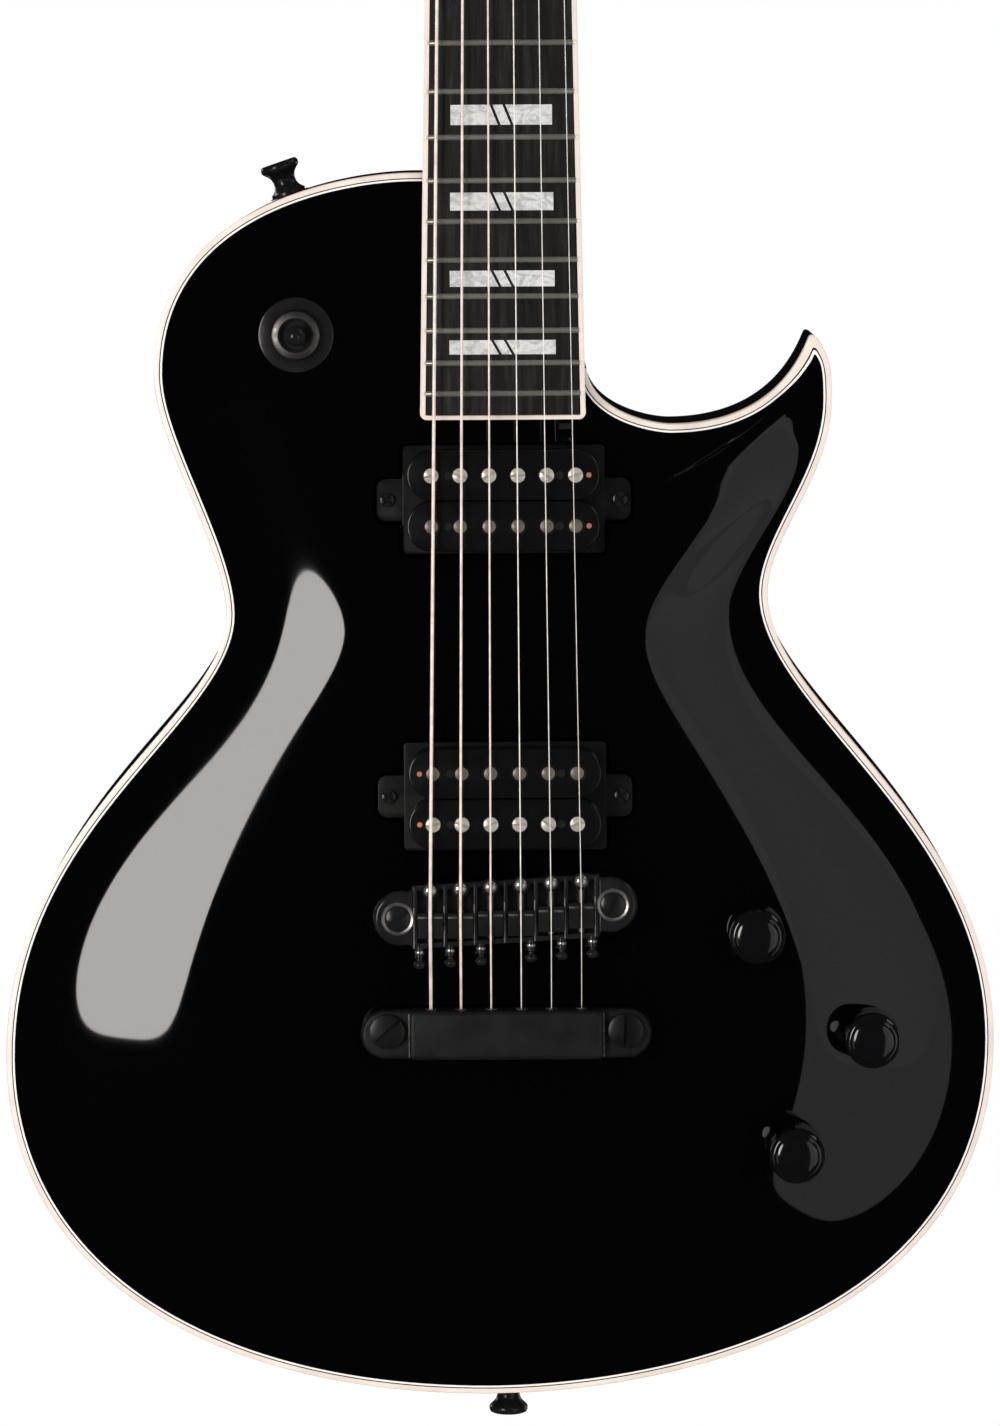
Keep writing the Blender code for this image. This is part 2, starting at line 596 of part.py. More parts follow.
combine(body_back, cylinder("switch_cavity", SWITCH_CAVITY_RADIUS, -60.0, -5.0, None, at))
combine(body_back, cylinder("switch_recess", SWITCH_CAVITY_RADIUS + COVER_RIM, -60.0, BODY_BACK + COVER_THICK + 0.1,
                            None, at))
rim = SWITCH_CAVITY_RADIUS + COVER_RIM - 0.2
low = BODY_BACK + 0.1
turned("switch_cover", ((0, low + COVER_THICK - 0.1), (rim, low + COVER_THICK - 0.1), (rim, low), (0, low)),
       "black_plastic", None, at)
seat_high = top + 1.0
switch = ((5.9, seat_high + 4.6), (7.6, seat_high + 4.6), (8.8, seat_high + 3.6), (8.8, seat_high + 0.9),
          (13.0, seat_high + 0.9), (13.0, seat_high), (6.0, seat_high), (6.0, -10.6), (11.0, -10.6), (11.0, -26.0),
          (0, -26.0), (0, -12.0), (4.7, -12.0), (4.7, seat_high), (5.9, seat_high + 4.6))
turned("switch_body", switch, "black_metal", None, at)
PIVOT = -4.0
lever = ((0, 22.0), (1.9, 21.5), (3.2, 20.2), (3.65, 18.4), (3.1, 16.4), (2.0, 14.6), (1.7, 10.0), (1.9, 3.0),
         (3.0, 1.6), (3.4, 0.0), (3.0, -1.6), (1.7, -3.0), (0, -3.4))
turned("switch_lever", lever, "steel", None, body(x, PIVOT, z))

# ---- Output jack in the treble side ----
at = jack_at
combine(body_back, cylinder("jack_bore", 10.0, -26.0, 5.0, None, at, (0, 90, 0)))
jack_plate = put("jack_plate", block("jack_plate", (0.1, -16.0, -16.0), (1.6, 16.0, 16.0)), "black_metal", None, at)
combine(jack_plate, cylinder("jack_plate_hole", 4.9, -5.0, 5.0, None, at, (0, 90, 0)))
jack = ((3.3, 3.4), (5.6, 3.4), (6.4, 2.8), (6.4, 1.8), (4.6, 1.8), (4.6, -0.4), (8.0, -0.4), (8.0, -2.0),
        (5.2, -2.0), (5.2, -18.0), (0, -18.0), (0, -16.5), (3.3, -16.5), (3.3, 3.4))
turned("output_jack", jack, "steel", None, at, (0, 90, 0))

# ---- Strap buttons: the first stands up from the shoulder, the second down from the tail ----
for name, x, z, lean, high in STRAP_BUTTONS:
    at = body(x, high, z)
    turn = (0, -lean, 0)
    combine(body_back, cylinder(f"strap_hole_{name}", 2.2, -16.0, 5.0, None, at, turn, 12))
    button = ((0, 12.0), (5.6, 12.0), (6.75, 11.0), (6.75, 9.6), (4.4, 7.4), (3.9, 5.0), (4.3, 3.0), (6.0, 1.6),
              (6.0, 0.5), (1.9, 0.5), (1.9, -14.0), (0, -15.0))
    turned(f"strap_button_{name}", button, "black_metal", None, at, turn)


# ---- Fretboard: cambered board with its fret crowns, and the binding round it ----
def fret_at(number):
    """Distance of a fret below the nut."""
    return SCALE_LENGTH * (1 - 2 ** (-number / 12))


def camber(x):
    return x * x / (2 * BOARD_RADIUS)


rows = [(0.05, 0.0)]
for number in range(1, FRET_COUNT + 1):
    z = fret_at(number)
    half = FRET_WIDTH / 2
    rows += [(z - half, 0.0), (z - half * 0.45, FRET_HEIGHT), (z + half * 0.45, FRET_HEIGHT), (z + half, 0.0)]
rows.append((BOARD_LENGTH - END_BINDING - 0.1, 0.0))
rings = []
for z, crown in rows:
    half = board_half(z) - BOARD_BINDING - 0.1
    ring = [(-half, -0.05, -z)]
    for i in range(5):
        x = half * (i / 2 - 1)
        ring.append((x, -(BOARD_THICK - camber(x) + crown), -z))
    ring.append((half, -0.05, -z))
    rings.append(ring)
put("fretboard", loft("fretboard", rings), "ebony", neck_frame)

hug = [(-board_half(0), -0.1), (-board_half(BOARD_LENGTH - 3), -(BOARD_LENGTH - 3)),
       (-board_half(BOARD_LENGTH) + 3, -BOARD_LENGTH), (board_half(BOARD_LENGTH) - 3, -BOARD_LENGTH),
       (board_half(BOARD_LENGTH - 3), -(BOARD_LENGTH - 3)), (board_half(0), -0.1)]
inside = BOARD_LENGTH - END_BINDING
hug += [(board_half(0) - BOARD_BINDING, -0.1), (board_half(inside) - BOARD_BINDING, -inside),
        (-board_half(inside) + BOARD_BINDING, -inside), (-board_half(0) + BOARD_BINDING, -0.1)]
put("fretboard_binding", plate("fretboard_binding", hug, 4.7, 0.05), "cream", neck_frame)
put("nut", block("nut", (-NUT_HALF, -NUT_TOP, 0.15), (NUT_HALF, -0.1, NUT_LENGTH), 0.4), "bone", neck_frame)
cover = ((-4.0, 9.0), (-9.5, 12.0), (-10.5, 18.0), (-7.5, 28.0), (-4.5, 36.0), (0.0, 41.0), (4.5, 36.0), (7.5, 28.0),
         (10.5, 18.0), (9.5, 12.0), (4.0, 9.0))
put("truss_rod_cover", plate("truss_rod_cover", cover, 2.0, 0.2), "black_plastic", head_frame)

# ---- Tuners: posts through the headstock, housings behind it, buttons outside ----
WORM_Z, WORM_DEEP = 6.0, HEAD_THICK + 5.4
housings = {}
for side, sign in (("bass", -1), ("treble", 1)):
    low, high = sorted((sign * 12.5, sign * 31.0))
    strip = block("strip", (low, HEAD_THICK + 0.2, 30.0), (high, HEAD_THICK + 1.6, 142.0))
    housings[sign] = put(f"tuner_plate_{side}", strip, "black_metal", head_frame)
for i, (x, z) in enumerate(POSTS, 1):
    sign = 1 if x > 0 else -1
    at = (x, 0, z)
    combine(neck, cylinder(f"post_hole_{i}", POST_RADIUS + 1.2, -30.0, 10.0, head_frame, at))
    low, high = sorted((x - sign * 6.6, x + sign * 10.0))
    box = block("box", (low, HEAD_THICK + 0.9, z - 6.6), (high, HEAD_THICK + 10.4, z + 10.4))
    combine(housings[sign], put(f"tuner_box_{i}", box, None, head_frame), "UNION")
    low, high = sorted((x - sign * 5.4, x + sign * 8.4))
    hollow = block("hollow", (low, HEAD_THICK - 2.0, z - 5.4), (high, HEAD_THICK + 9.2, z + 9.2))
    combine(housings[sign], put(f"tuner_hollow_{i}", hollow, None, head_frame))
    bore = cylinder(f"button_bore_{i}", 2.3, 0.0, 20.0, head_frame, (x, WORM_DEEP, z + WORM_Z), (0, sign * 90, 0))
    combine(housings[sign], bore)
    post = ((0, 9.0), (POST_RADIUS, 8.5), (2.4, 5.5), (2.4, 4.0), (POST_RADIUS, 2.0), (POST_RADIUS, -15.0),
            (3.9, -15.0), (3.9, -22.0), (0, -22.0))
    turned(f"tuner_post_{i}", post, "black_metal", head_frame, at)
    grip = ((0, 33.1), (4.0, 31.8), (5.2, 28.8), (4.2, 24.6), (3.6, 21.2), (2.1, 20.6), (2.1, 3.0), (1.7, -3.4),
            (0, -3.4))
    turned(f"tuner_button_{i}", grip, "black_metal", head_frame, (x, WORM_DEEP, z + WORM_Z), (0, sign * 90, 0))

# ---- Strings: from the stop bar over the saddles and the nut to the posts ----
bpy.context.view_layer.update()
deck_to_neck = neck_frame.matrix_world.inverted() @ deck_frame.matrix_world
head_to_neck = neck_frame.matrix_world.inverted() @ head_frame.matrix_world
for i, radius in enumerate(STRING_RADII):
    x = string_x[i]
    run = [(x, -TAIL_STRING_HIGH, TAIL_Z - 6.0), (x, -TAIL_STRING_HIGH, TAIL_Z + TAIL_HALF_Z),
           (x, -BREAK_HIGH, BREAK_Z[i])]
    points = [deck_to_neck @ (Vector(p) * MM) / MM for p in run]
    nut_x = (i - 2.5) * NUT_PITCH
    points += [Vector((nut_x, -STRING_AT_NUT, 0.0)), Vector((nut_x, -STRING_AT_NUT, NUT_LENGTH))]
    post_x, post_z = POSTS[i]
    sign = 1 if post_x > 0 else -1
    reach = POST_RADIUS + radius + 0.35
    for step in range(8):
        a = radians(-10 + 60 * step)
        place = Vector((post_x - sign * reach * cos(a), -6.4 + 0.42 * step, post_z + reach * sin(a)))
        points.append(head_to_neck @ (place * MM) / MM)
    put(f"string_{i + 1}", wire("string", points, radius), "string", neck_frame)
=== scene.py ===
"""Looks of the single-cut electric guitar. Tables are in millimetres; frames and the scene are in metres."""
from math import asin, atan2, ceil, cos, degrees, hypot, pi, radians, sin, tan

import bmesh
import bpy
from mathutils import Matrix, Vector
from mathutils.geometry import interpolate_bezier


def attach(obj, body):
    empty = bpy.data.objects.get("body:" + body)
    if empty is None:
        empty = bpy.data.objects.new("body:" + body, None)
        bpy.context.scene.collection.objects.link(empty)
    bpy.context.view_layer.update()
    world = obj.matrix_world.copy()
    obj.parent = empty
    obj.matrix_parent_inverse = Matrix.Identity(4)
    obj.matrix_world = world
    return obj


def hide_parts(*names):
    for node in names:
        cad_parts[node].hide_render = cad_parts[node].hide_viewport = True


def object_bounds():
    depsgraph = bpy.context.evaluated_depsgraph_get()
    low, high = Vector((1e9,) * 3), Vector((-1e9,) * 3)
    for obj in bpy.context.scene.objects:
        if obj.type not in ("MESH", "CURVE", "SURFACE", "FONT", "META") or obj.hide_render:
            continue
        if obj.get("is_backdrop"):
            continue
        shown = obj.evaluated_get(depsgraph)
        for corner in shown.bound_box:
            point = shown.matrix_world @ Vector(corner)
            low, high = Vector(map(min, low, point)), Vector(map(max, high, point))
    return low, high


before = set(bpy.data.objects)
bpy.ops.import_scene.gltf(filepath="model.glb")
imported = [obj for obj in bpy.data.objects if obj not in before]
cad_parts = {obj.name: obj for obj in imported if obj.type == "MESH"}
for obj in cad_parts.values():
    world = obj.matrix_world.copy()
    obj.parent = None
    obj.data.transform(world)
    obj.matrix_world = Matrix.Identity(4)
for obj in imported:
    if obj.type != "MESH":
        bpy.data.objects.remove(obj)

cad_low, cad_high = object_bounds()
scene = bpy.context.scene
MM = 0.001
WORLD = Matrix.Identity(4)
TO_VIEWER = (90, 0, 0)  # turn that points a turned part's axis at the viewer
SHARP = 35.0  # edges sharper than this aren't smoothed, in degrees

# ---- Sizes, as in the CAD model ----
SCALE_LENGTH, BOARD_LENGTH = 628.65, 461.3
NUT_HALF, BOARD_END_HALF, BOARD_RADIUS = 21.0, 28.5, 305.0
BRIDGE_Z, RIM_Y = -627.2, -17.5
CAP_BOTTOM, BODY_BACK = -10.0, -50.0
BINDING_WIDE, BINDING_TALL = 3.1, 6.5
PLATEAU_HIGH, PLATEAU_TILT = 10.5, 1.44
NECK_TILT, HEAD_TILT, HEAD_THICK = 3.0, 15.0, 14.0
RISE_STEPS = 28  # bands of the carved top between rim and plateau
BACK_ROUND = 4.2  # radius of the back's edge
NECK_EDGING = 1.8  # width of the binding on the fretboard
STRING_RADII = (0.584, 0.457, 0.330, 0.216, 0.165, 0.127)
STRING_X = [(i - 2.5) * 10.4 for i in range(6)]
STRING_HIGH, STRING_CLEAR = 15.5, 0.35  # over the plateau at the bridge, and over the saddle's notch
BREAK_Z = (-3.9, -3.9, -3.2, -3.1, -1.8, -0.6)
BRIDGE_STUDS = ((-37.2, -4.7), (36.9, -0.3))
TAIL_STUDS = ((-41.1, -43.8), (41.1, -43.8))
TAIL_Z = -45.1
SWITCH_X, SWITCH_Z, SWITCH_HIGH = -71.1, 196.1, 5.8
# x, z from the bridge line, and height of the carved top there
KNOBS = ((86.4, -11.0, 10.8), (126.4, -47.8, 8.1), (100.0, -87.3, 10.9))
# x, z from the nut
POSTS = ((-21.0, 42.0), (-19.5, 84.0), (-18.0, 126.0), (18.0, 126.0), (19.5, 84.0), (21.0, 42.0))
# Outline of the body, clockwise as seen: x, z, heading, handles in and out, points per half span
OUTLINE = (
    (-6.4, -175.5, 180, 53.8, 94.1, 6), (-174.4, -56.5, 90, 77.6, 84.7, 5), (-96.3, 99.2, 90, 36.7, 23.1, 3),
    (-120.6, 182.2, 90, 22.9, 57.1, 5), (-30.0, 251.5, 0, 28.1, 0.0, 1), (23.5, 251.5, 0, 0.0, 0.0, 1),
    (25.0, 183.6, 0, 0.0, 0.0, 1), (29.0, 183.6, -84, 0.0, 15.2, 3), (58.4, 164.2, 0, 6.7, 30.7, 4),
    (105.8, 193.8, 68, 13.6, 2.0, 2), (109.4, 192.7, -60, 2.0, 7.0, 2), (113.7, 172.8, -90, 11.0, 26.1, 3),
    (91.4, 107.5, -95, 19.3, 39.4, 5), (169.8, -50.7, -90, 78.4, 105.6, 6),
)
HORN_TIP = 9  # the short span round the tip of the horn stays whole
# Where the inner edge of the binding doesn't lie one binding width in from a knot above
INNER_CORNERS = {(23.5, 251.5): (20.4, 248.4), (25.0, 183.6): (21.9, 181.0), (105.8, 193.8): (107.6, 187.4),
                 (109.4, 192.7): (108.3, 187.3)}
# Edge of the flat plateau, knot for knot
PLATEAU = (
    (-3.0, -112.0, 180, 30.0, 45.0), (-92.0, -46.0, 90, 40.0, 50.0), (-36.0, 92.0, 84, 30.0, 24.0),
    (-56.0, 178.0, 80, 24.0, 22.0), (-29.0, 214.0, 0, 12.0, 0.0), (16.0, 214.0, 0, 0.0, 0.0),
    (18.0, 156.0, 0, 0.0, 0.0), (23.0, 156.0, -84, 0.0, 6.0), (42.0, 136.0, -10, 8.0, 8.0),
    (68.0, 126.0, -20, 6.0, 1.5), (70.0, 124.0, -70, 1.5, 4.0), (67.0, 112.0, -108, 5.0, 12.0),
    (38.0, 84.0, -95, 16.0, 30.0), (88.0, -44.0, -90, 50.0, 45.0),
)
# Knots of the plateau towards which the slope by the horn bends as it rises
HORN_BEND = {8: (38.0, 140.0, 0, 8.0, 6.0), 9: (48.0, 141.5, 15, 4.0, 1.5), 10: (51.0, 140.0, -60, 1.5, 4.0),
             11: (52.0, 128.0, -97, 5.0, 14.0)}
CONTROL_COVER = [(62, -6), (74, 14), (100, 14), (122, -8), (146, -26), (152, -52), (142, -80), (122, -106),
                 (98, -114), (76, -106), (68, -78), (64, -40)]


# ---- Procedural materials ----
class Look:
    """A material with a Principled shader, and short ways to add detail to it."""

    def __init__(self, name, colour, roughness, metallic=0.0, **more):
        self.material = bpy.data.materials.new(name)
        self.material.use_nodes = True
        self.tree = self.material.node_tree
        self.shader = self.tree.nodes["Principled BSDF"]
        self.set(Roughness=roughness, Metallic=metallic, **more)
        self.shader.inputs["Base Color"].default_value = (*colour, 1)

    def set(self, **values):
        for name, value in values.items():
            self.shader.inputs[name.replace("_", " ")].default_value = value

    def new(self, kind, **values):
        node = self.tree.nodes.new(kind)
        for name, value in values.items():
            node.inputs[name.replace("_", " ")].default_value = value
        return node

    def link(self, source, target):
        self.tree.links.new(source, target)

    def place(self, stretch=(1, 1, 1), turn=(0, 0, 0)):
        """Object coordinates, stretched and turned."""
        where = self.new("ShaderNodeTexCoord")
        mapping = self.new("ShaderNodeMapping", Scale=stretch, Rotation=[radians(a) for a in turn])
        self.link(where.outputs["Object"], mapping.inputs["Vector"])
        return mapping.outputs["Vector"]

    def noise(self, scale, detail=3.0, rough=0.5, stretch=(1, 1, 1), turn=(0, 0, 0), distortion=0.0):
        node = self.new("ShaderNodeTexNoise", Scale=scale, Detail=detail, Roughness=rough,
                        Distortion=distortion)
        self.link(self.place(stretch, turn), node.inputs["Vector"])
        return node.outputs["Fac"]

    def ramp(self, source, *stops):
        node = self.new("ShaderNodeValToRGB")
        ramp = node.color_ramp
        while len(ramp.elements) < len(stops):
            ramp.elements.new(0.5)
        for element, (at, colour) in zip(ramp.elements, stops):
            element.position = at
            element.color = (*colour, 1) if isinstance(colour, tuple) else (colour, colour, colour, 1)
        self.link(source, node.inputs["Fac"])
        return node.outputs["Color"]

    def colour(self, source, *stops):
        self.link(self.ramp(source, *stops), self.shader.inputs["Base Color"])
        return self

    def rough(self, source, low, high):
        """Roughness that goes from low to high with a noise."""
        node = self.new("ShaderNodeMapRange", To_Min=low, To_Max=high, From_Min=0.3, From_Max=0.7)
        self.link(source, node.inputs["Value"])
        self.link(node.outputs["Result"], self.shader.inputs["Roughness"])
        return self

    def bump(self, source, distance, strength=1.0):
        node = self.new("ShaderNodeBump", Strength=strength, Distance=distance)
        self.link(source, node.inputs["Height"])
        if self.shader.inputs["Normal"].is_linked:
            self.link(self.shader.inputs["Normal"].links[0].from_socket, node.inputs["Normal"])
        self.link(node.outputs["Normal"], self.shader.inputs["Normal"])
        return self


def lacquer(name, colour):
    look = Look(name, colour, 0.03, IOR=1.5, Coat_Weight=0.3, Coat_Roughness=0.02)
    look.rough(look.noise(9, 4), 0.02, 0.04)
    return look.bump(look.noise(45, 2), 0.00003, 0.2)


def black_metal(name, tone=0.022, rough=0.32, metallic=0.55, grain=900):
    look = Look(name, (tone, tone, tone * 1.05), rough, metallic)
    look.colour(look.noise(60, 5), (0.3, tone * 0.7), (0.7, tone * 1.5))
    look.rough(look.noise(150, 5), rough * 0.8, rough * 1.25)
    return look.bump(look.noise(grain, 3), 0.00003, 0.35)


def bright_metal(name, colour, rough=0.28, stretch=(1, 1, 1), metallic=0.9):
    look = Look(name, colour, rough, metallic)
    dark = tuple(c * 0.72 for c in colour)
    look.colour(look.noise(240, 4, stretch=stretch), (0.3, dark), (0.65, colour))
    return look.rough(look.noise(500, 3, stretch=stretch), rough * 0.75, rough * 1.3)


def plastic(name, colour, rough=0.3, coat=0.0, grain=700.0, depth=0.00001):
    look = Look(name, colour, rough, Coat_Weight=coat, Coat_Roughness=0.05)
    darker, lighter = tuple(c * 0.88 for c in colour), tuple(min(1, c * 1.06) for c in colour)
    look.colour(look.noise(90, 4), (0.25, darker), (0.75, lighter))
    look.rough(look.noise(160, 4), rough * 0.82, rough * 1.2)
    return look.bump(look.noise(grain, 2), depth, 0.4)


LACQUER = lacquer("black lacquer", (0.0008, 0.0008, 0.0009))
NECK_LACQUER = lacquer("neck lacquer", (0.001, 0.001, 0.001))
CREAM = plastic("cream binding", (0.78, 0.68, 0.6), 0.24, 0.4)
WHITE_LINE = plastic("white line", (0.86, 0.84, 0.8), 0.25, 0.3)
BLACK_LINE = plastic("black line", (0.006, 0.006, 0.006), 0.25, 0.3)
HARDWARE = black_metal("black plating", 0.005, 0.34, 0.3)
GLOSS = black_metal("gloss black plating", 0.02, 0.18, 0.6)
SATIN = black_metal("satin black plating", 0.008, 0.46, 0.35, 1500)
# Bright metal on the hardware's edges: partly wear, partly a painted highlight on edges that catch the lamps
WORN_EDGE_AND_HIGHLIGHT = bright_metal("worn plating edge and painted highlight", (0.42, 0.4, 0.37), 0.3)
STEEL = bright_metal("bright steel", (0.72, 0.7, 0.67), 0.2)
DULL_STEEL = bright_metal("dull steel", (0.17, 0.16, 0.155), 0.34)
FRET_METAL = bright_metal("fret wire", (0.36, 0.35, 0.3), 0.3, (0.1, 1, 1), 0.7)
POLE = bright_metal("pole screw steel", (0.62, 0.58, 0.52), 0.28, metallic=0.4)
SLUG = bright_metal("pole slug steel", (0.17, 0.15, 0.13), 0.3, metallic=0.4)
COPPER = bright_metal("copper wire end", (0.75, 0.28, 0.15), 0.35, metallic=0.5)
BRASS = bright_metal("brass ball end", (0.7, 0.5, 0.22), 0.3)
BOBBIN = plastic("bobbin plastic", (0.0035, 0.0035, 0.0038), 0.2, 0.15)
TAPE = plastic("black tape", (0.006, 0.006, 0.006), 0.6, 0.0, 300, 0.0001)
KNOB = plastic("knob plastic", (0.0035, 0.0035, 0.004), 0.11, 0.6)
COVER = plastic("cover plastic", (0.014, 0.014, 0.014), 0.42, 0.0, 1800, 0.00003)
BONE = plastic("bone", (0.8, 0.76, 0.66), 0.35, 0.1, 200, 0.00002)
# Near-black painted shade, put at the bottoms of holes and in gaps and cavities where only shade falls
PAINTED_SHADE = plastic("painted shade in holes", (0.003, 0.003, 0.003), 0.7)

BOARD = Look("dark fingerboard wood", (0.012, 0.01, 0.009), 0.5, IOR=1.38)
BOARD.colour(BOARD.noise(520, 6, 0.62, (1, 1, 0.04), distortion=0.3), (0.28, (0.004, 0.0035, 0.003)),
             (0.52, (0.009, 0.0078, 0.007)), (0.76, (0.026, 0.023, 0.02)))
BOARD.rough(BOARD.noise(420, 4, stretch=(1, 1, 0.06)), 0.4, 0.62)
BOARD.bump(BOARD.noise(900, 3, stretch=(1, 1, 0.03)), 0.00012, 0.7)

PEARL = Look("pearl", (0.8, 0.8, 0.78), 0.16, Coat_Weight=0.6, Coat_Roughness=0.06)
PEARL.colour(PEARL.noise(150, 3, 0.55, (1, 1, 1.6), (0, 25, 0), 2.2), (0.28, (0.34, 0.35, 0.36)),
             (0.45, (0.5, 0.5, 0.49)), (0.58, (0.66, 0.66, 0.64)), (0.74, (0.44, 0.46, 0.48)))
PEARL.bump(PEARL.noise(260, 2, distortion=1.5), 0.00004, 0.4)


def string_look(name, colour, pitch):
    """Music wire; a wound string has the ridges of its wrap."""
    look = bright_metal(name, colour, 0.34, metallic=0.2)
    if pitch:
        wave = look.new("ShaderNodeTexWave", Scale=0.31416 / (pitch * MM), Distortion=0.0)
        wave.bands_direction = "Z"
        look.link(look.place(), wave.inputs["Vector"])
        look.bump(wave.outputs["Fac"], 0.000015, 0.15)
    return look


WRAP_PITCHES = (0.42, 0.34, 0.26)
WOUND = [string_look(f"wound string {i}", (0.92, 0.79, 0.67), pitch) for i, pitch in enumerate(WRAP_PITCHES)]
PLAIN = string_look("plain string", (1.0, 0.93, 0.85), 0)


# ---- Frames ----
def leaning(x, y, z, tilt, parent=WORLD):
    """Frame at a point in millimetres, leant back by tilt degrees."""
    return parent @ Matrix.Translation((x * MM, y * MM, z * MM)) @ Matrix.Rotation(radians(-tilt), 4, "X")


def body(x, high, z):
    """World place of a point on the body: high above the rim, z above the bridge line."""
    return (x, RIM_Y - high, BRIDGE_Z + z)


NECK = leaning(0, 0, 0, NECK_TILT)
HEAD = leaning(0, 0, 5.0, HEAD_TILT, NECK)
DECK = leaning(*body(0, PLATEAU_HIGH, 0), PLATEAU_TILT)
RIM = leaning(*body(0, 0, 0), 0)


def at(parent, x=0.0, y=0.0, z=0.0, turn=(0, 0, 0)):
    """Frame moved and then turned; turn is in degrees, about X, Y and Z in that order."""
    place = parent @ Matrix.Translation((x * MM, y * MM, z * MM))
    for angle, axis in zip(reversed(turn), "ZYX"):
        place = place @ Matrix.Rotation(radians(angle), 4, axis)
    return place


# ---- Mesh building ----
def shifted(outline, distance):
    """Outline pushed outwards along its corner directions."""
    area = sum(a[0] * b[1] - b[0] * a[1] for a, b in zip(outline, outline[1:] + outline[:1]))
    side = 1 if area > 0 else -1
    moved = []
    for i, (x, z) in enumerate(outline):
        (x0, z0), (x1, z1) = outline[i - 1], outline[(i + 1) % len(outline)]
        a, b = Vector((z - z0, x0 - x)), Vector((z1 - z, x - x1))
        a, b = a.normalized() if a.length else b.normalized(), b.normalized() if b.length else a.normalized()
        way = a + b
        way = way / max(way.length_squared / 2, 0.5)
        moved.append((x + side * distance * way.x, z + side * distance * way.y))
    return moved


def rounded(half_x, half_z, radius, steps=6):
    """Rectangle with rounded corners."""
    ring = []
    for sx, sz, start in ((1, 1, 0), (-1, 1, 90), (-1, -1, 180), (1, -1, 270)):
        for i in range(steps + 1):
            a = radians(start + 90 * i / steps)
            ring.append((sx * (half_x - radius) + radius * cos(a), sz * (half_z - radius) + radius * sin(a)))
    return ring


def circle(radius, steps=32):
    return [(radius * cos(2 * pi * i / steps), radius * sin(2 * pi * i / steps)) for i in range(steps)]


